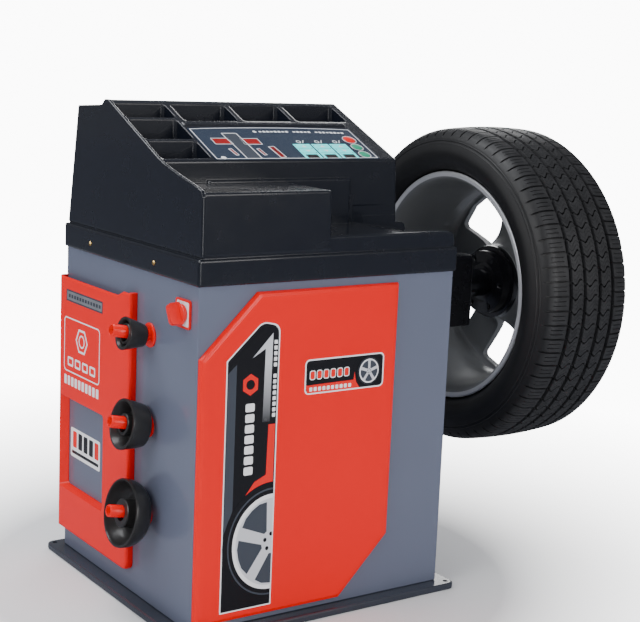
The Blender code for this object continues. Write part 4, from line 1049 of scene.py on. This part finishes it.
def wide_label():
    """The rounded label on the front: black field, red foot, plain blocks and a small printed wheel."""
    low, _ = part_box("front_panel")
    left, right = low.x + 0.2065, low.x + 0.3765
    bottom, top = low.z + 0.3885, low.z + 0.451
    line = 0.0026
    edge, field = framed(left, bottom, right, top, line, 0.009, 0.007)
    front_film("wide_label_edge", [edge, field], "white")
    front_film("wide_label_field", [field], "black_print")
    foot = [(-0.1674, 0.012), (-0.164, line), (-0.052, line), (-0.0605, 0.014), (-0.064, 0.032),
            (-0.066, 0.018), (-0.1674, 0.0165)]
    front_film("wide_label_foot", [shifted(right, bottom, foot)], "red_print", 2)
    for i in range(6):
        x, z = left + 0.01 + 0.0145 * i, bottom + 0.0255
        outer, core = framed(x, z, x + 0.012, z + 0.017, 0.0015, 0.004, 0.003)
        front_film(f"wide_label_block_{i}", [outer, core], "white", 2)
        front_film(f"wide_label_core_{i}", [core], "red_print", 2)
    blocks(front_film, "wide_label_tick", 10, (left + 0.01, bottom + 0.0055), (0.0092, 0), (0.0062, 0.007),
           0.0015, "white", 3)
    drawn_wheel("wide_label_wheel", (right - 0.033, bottom + 0.0312), 0.0275, 0.96, right - line, 3)


def side_film(name, outlines, finish, layer=1, wall="side_panel"):
    """A printed shape on the left side of a node."""
    out = -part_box(wall)[0].x
    return add_flat(name, outlines, out + FILM * (layer - 1), out + FILM * layer, side_place(), finish)


def rating_plate(rear, foot):
    y0, z0, y1, z1 = rear - 0.1885, foot + 0.457, rear - 0.032, foot + 0.4795
    edge, face = framed(y0, z0, y1, z1, 0.003, 0.001, 0.001)
    side_film("rating_plate", [edge], "grey_print")
    side_film("rating_plate_shine", [face], "plate_print", 2)
    blocks(side_film, "rating_mark", 12, (y0 + 0.008, z0 + 0.008), (0.0118, 0), (0.008, 0.0065), 0.001,
           "grey_print", 3)


def emblem(rear, foot):
    """A rounded square with a plain nut in it, four hollow blocks, and a row of blocks below."""
    y0, z0, y1, z1 = rear - 0.1785, foot + 0.32, rear - 0.0235, foot + 0.426
    side_film("emblem_edge", framed(y0, z0, y1, z1, 0.0024, 0.009, 0.007), "white")
    middle, height = (y0 + y1) / 2, z0 + 0.068
    nut = [arc(middle, height, radius, 0, 300, 5) for radius in (0.026, 0.026 * 0.82)]
    side_film("emblem_nut", nut, "white")
    side_film("emblem_ring", round_line(middle, height, 0.0125, 0.0095), "white")
    for i in range(4):
        y = y0 + 0.018 + 0.032 * i
        edge = framed(y, z0 + 0.012, y + 0.024, z0 + 0.03, 0.004, 0.003, 0.002)
        side_film(f"emblem_block_{i}", edge, "white")
    blocks(side_film, "emblem_letter", 10, (y0 + 0.003, z0 - 0.026), (0.0155, 0), (0.0105, 0.018), 0.002,
           "white")


def window_label(rear, foot):
    """A white label with plain bars, on the cabinet's wall behind the window."""
    y0, z0, y1, z1 = rear - 0.155, foot + 0.147, rear - 0.026, foot + 0.205
    wall = "cabinet_shell"
    side_film("window_label", [rectangle(y0, z0, y1, z1, 0.004)], "white", 1, wall)
    for i in range(5):
        y = y0 + 0.006 + 0.024 * i
        side_film(f"window_label_bar_{i}", [rectangle(y, z0 + 0.02, y + 0.017, z1 - 0.006, 0.003)],
                  "red_print" if i in (0, 4) else "black_print", 2, wall)
    side_film("window_label_rule", [rectangle(y0 + 0.006, z0 + 0.007, y1 - 0.006, z0 + 0.013, 0.001)],
              "black_print", 2, wall)


def side_labels():
    low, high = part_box("side_panel")
    rating_plate(high.y, low.z)
    emblem(high.y, low.z)
    window_label(high.y, low.z)


# ---------------------------------------------------------------- carried-over nodes

FINISHES = {
    "cabinet": ["cabinet_shell", "rear_service_panel"],
    "plate": ["base_plate"],
    "cover": ["top_cover"],
    "film": ["display_panel"],
    "window": ["left_digit_window", "right_digit_window"],
    "red": ["front_panel", "side_panel"],
    "key_black": ["mains_gland", "switch_body", "encoder_sensor"],
    "black_steel": ["spindle_housing"],
    "machined": ["bearing_rear", "bearing_front", "spindle_pulley", "motor_pulley", "motor_shaft",
                 "encoder_disc", "force_sensor_inner", "force_sensor_outer"],
    "cast": ["motor", "motor_bracket", "pedestal"],
    "board": ["power_board", "control_board"],
    "belt": ["drive_belt"],
    "brass": [name for name in NODES if name.startswith("cover_screw")],
    # The cyan keys carry the same painted glow as the printed fields.
    "cyan": [name for name in NODES if name.startswith("key_") and not name.endswith("_function")],
}
FINISHES["key_black"] += [name for name in NODES if name.endswith("_function")]
SOFT_EDGES = {
    "cabinet_shell": 0.0006, "rear_service_panel": 0.0005, "display_panel": 0.0003,
    "side_panel": 0.0012, "base_plate": 0.0008, "spindle_housing": 0.001, "front_panel": 0.001,
}


def finish_nodes():
    for finish, names in FINISHES.items():
        for name in names:
            obj = NODES[name]
            obj.data.materials.clear()
            obj.data.materials.append(MATERIALS[finish])
    for name, width in SOFT_EDGES.items():
        bevel(NODES[name], width, 2, 25)


# ---------------------------------------------------------------- room, light and camera

BACKDROP = 11.0

def mix_shaders(tree, share, first, second):
    return node(tree, "ShaderNodeMixShader", {"Fac": share, 1: first, 2: second}).outputs["Shader"]


def floor_paper():
    """Pale paper that fades to plain white away from the machine, and shows darker in glossy pieces."""
    paper = surface("floor_paper", (0.9, 0.9, 0.91), 0.7, tint=0.01, patch=0.5, grain=0.01)
    tree = paper.node_tree
    path = node(tree, "ShaderNodeLightPath")
    away = node(tree, "ShaderNodeVectorMath", {0: own_place(tree)}, operation="LENGTH")
    fade = ranged(tree, away.outputs["Value"], 0, 1, 0.5, 1.7)
    share = node(tree, "ShaderNodeMath", {0: fade, 1: path.outputs["Is Camera Ray"]}, operation="MULTIPLY")
    dim = node(tree, "ShaderNodeBsdfDiffuse", {"Color": (0.22, 0.23, 0.26, 1)})
    white = node(tree, "ShaderNodeEmission", {"Strength": BACKDROP})
    mirrored = mix_shaders(tree, path.outputs["Is Glossy Ray"], tree.nodes["Principled BSDF"].outputs["BSDF"],
                           dim.outputs["BSDF"])
    seen = mix_shaders(tree, share.outputs[0], mirrored, white.outputs["Emission"])
    feed(tree, tree.nodes["Material Output"], {"Surface": seen})
    return paper


def studio_world():
    """A soft even sky, dimmer in glossy pieces, with a bright plain backdrop."""
    world = bpy.data.worlds.new("studio")
    world.use_nodes = True
    tree = world.node_tree
    path = node(tree, "ShaderNodeLightPath")
    sky = tree.nodes["Background"]
    feed(tree, sky, {"Color": (0.93, 0.95, 1.0, 1),
                     "Strength": ranged(tree, path.outputs["Is Glossy Ray"], 0.55, 0.16, 0, 1)})
    backdrop = node(tree, "ShaderNodeBackground", {"Color": (1.0, 1.0, 1.0, 1), "Strength": BACKDROP})
    seen = mix_shaders(tree, path.outputs["Is Camera Ray"], sky.outputs["Background"],
                       backdrop.outputs["Background"])
    feed(tree, tree.nodes["World Output"], {"Surface": seen})
    return world


def stage():
    size = 14
    data = flat_mesh("floor", [rectangle(-size, -size, size, size)], -0.02, 0.0, Matrix.Identity(4))
    floor = placed("floor", data)
    data.materials.clear()
    data.materials.append(floor_paper())
    bpy.context.scene.world = studio_world()


def area_light(name, place, target, size, power, colour=(1, 1, 1)):
    lamp = bpy.data.lights.new(name, "AREA")
    lamp.shape = "RECTANGLE"
    lamp.size, lamp.size_y = size
    lamp.energy = power
    lamp.color = colour
    obj = placed(name, lamp)
    obj.location = place
    obj.rotation_euler = (Vector(target) - Vector(place)).to_track_quat("-Z", "Y").to_euler()


def lights():
    target = (0.05, 0, 0.5)
    area_light("key_light", (-2.8, -0.8, 2.0), target, (1.5, 1.5), 42)
    area_light("front_light", (0.8, -3.4, 1.8), target, (2.2, 1.4), 38, (1.0, 0.98, 0.96))
    area_light("tread_light", (-0.1, -3.3, 0.8), (0.55, 0, 0.55), (0.5, 1.4), 14)
    area_light("top_light", (-0.7, 0.6, 3.0), target, (1.6, 2.0), 60, (0.95, 0.97, 1.0))
    area_light("rear_light", (2.4, 2.4, 1.6), target, (1.4, 1.6), 30)


def camera():
    """Stands to the front left, a little above the console, looking slightly down and rolled."""
    yaw, pitch, roll = -0.6069, 0.17896, 0.0427
    back = Vector((math.sin(yaw) * math.cos(pitch), -math.cos(yaw) * math.cos(pitch), math.sin(pitch)))
    right = (-back).cross(Vector((0, 0, 1))).normalized()
    up = right.cross(-back)
    across = math.cos(roll) * right + math.sin(roll) * up
    above = -math.sin(roll) * right + math.cos(roll) * up
    lens = bpy.data.cameras.new("camera")
    lens.sensor_width = 36
    lens.lens = 79.57
    obj = placed("camera", lens)
    turn = Matrix((across, above, back)).transposed().to_4x4()
    obj.matrix_world = Matrix.Translation((-1.402, -2.2368, 0.993)) @ turn
    bpy.context.scene.camera = obj


def build():
    camera()
    make_materials()
    finish_nodes()
    tyre()
    rim()
    shaft()
    flange()
    cone_and_nut()
    pegs()
    spare_cones()
    switch()
    display_prints()
    digit_windows()
    key_print()
    round_buttons()
    tall_label()
    wide_label()
    side_labels()
    stage()
    lights()
    bpy.context.view_layer.update()


build()
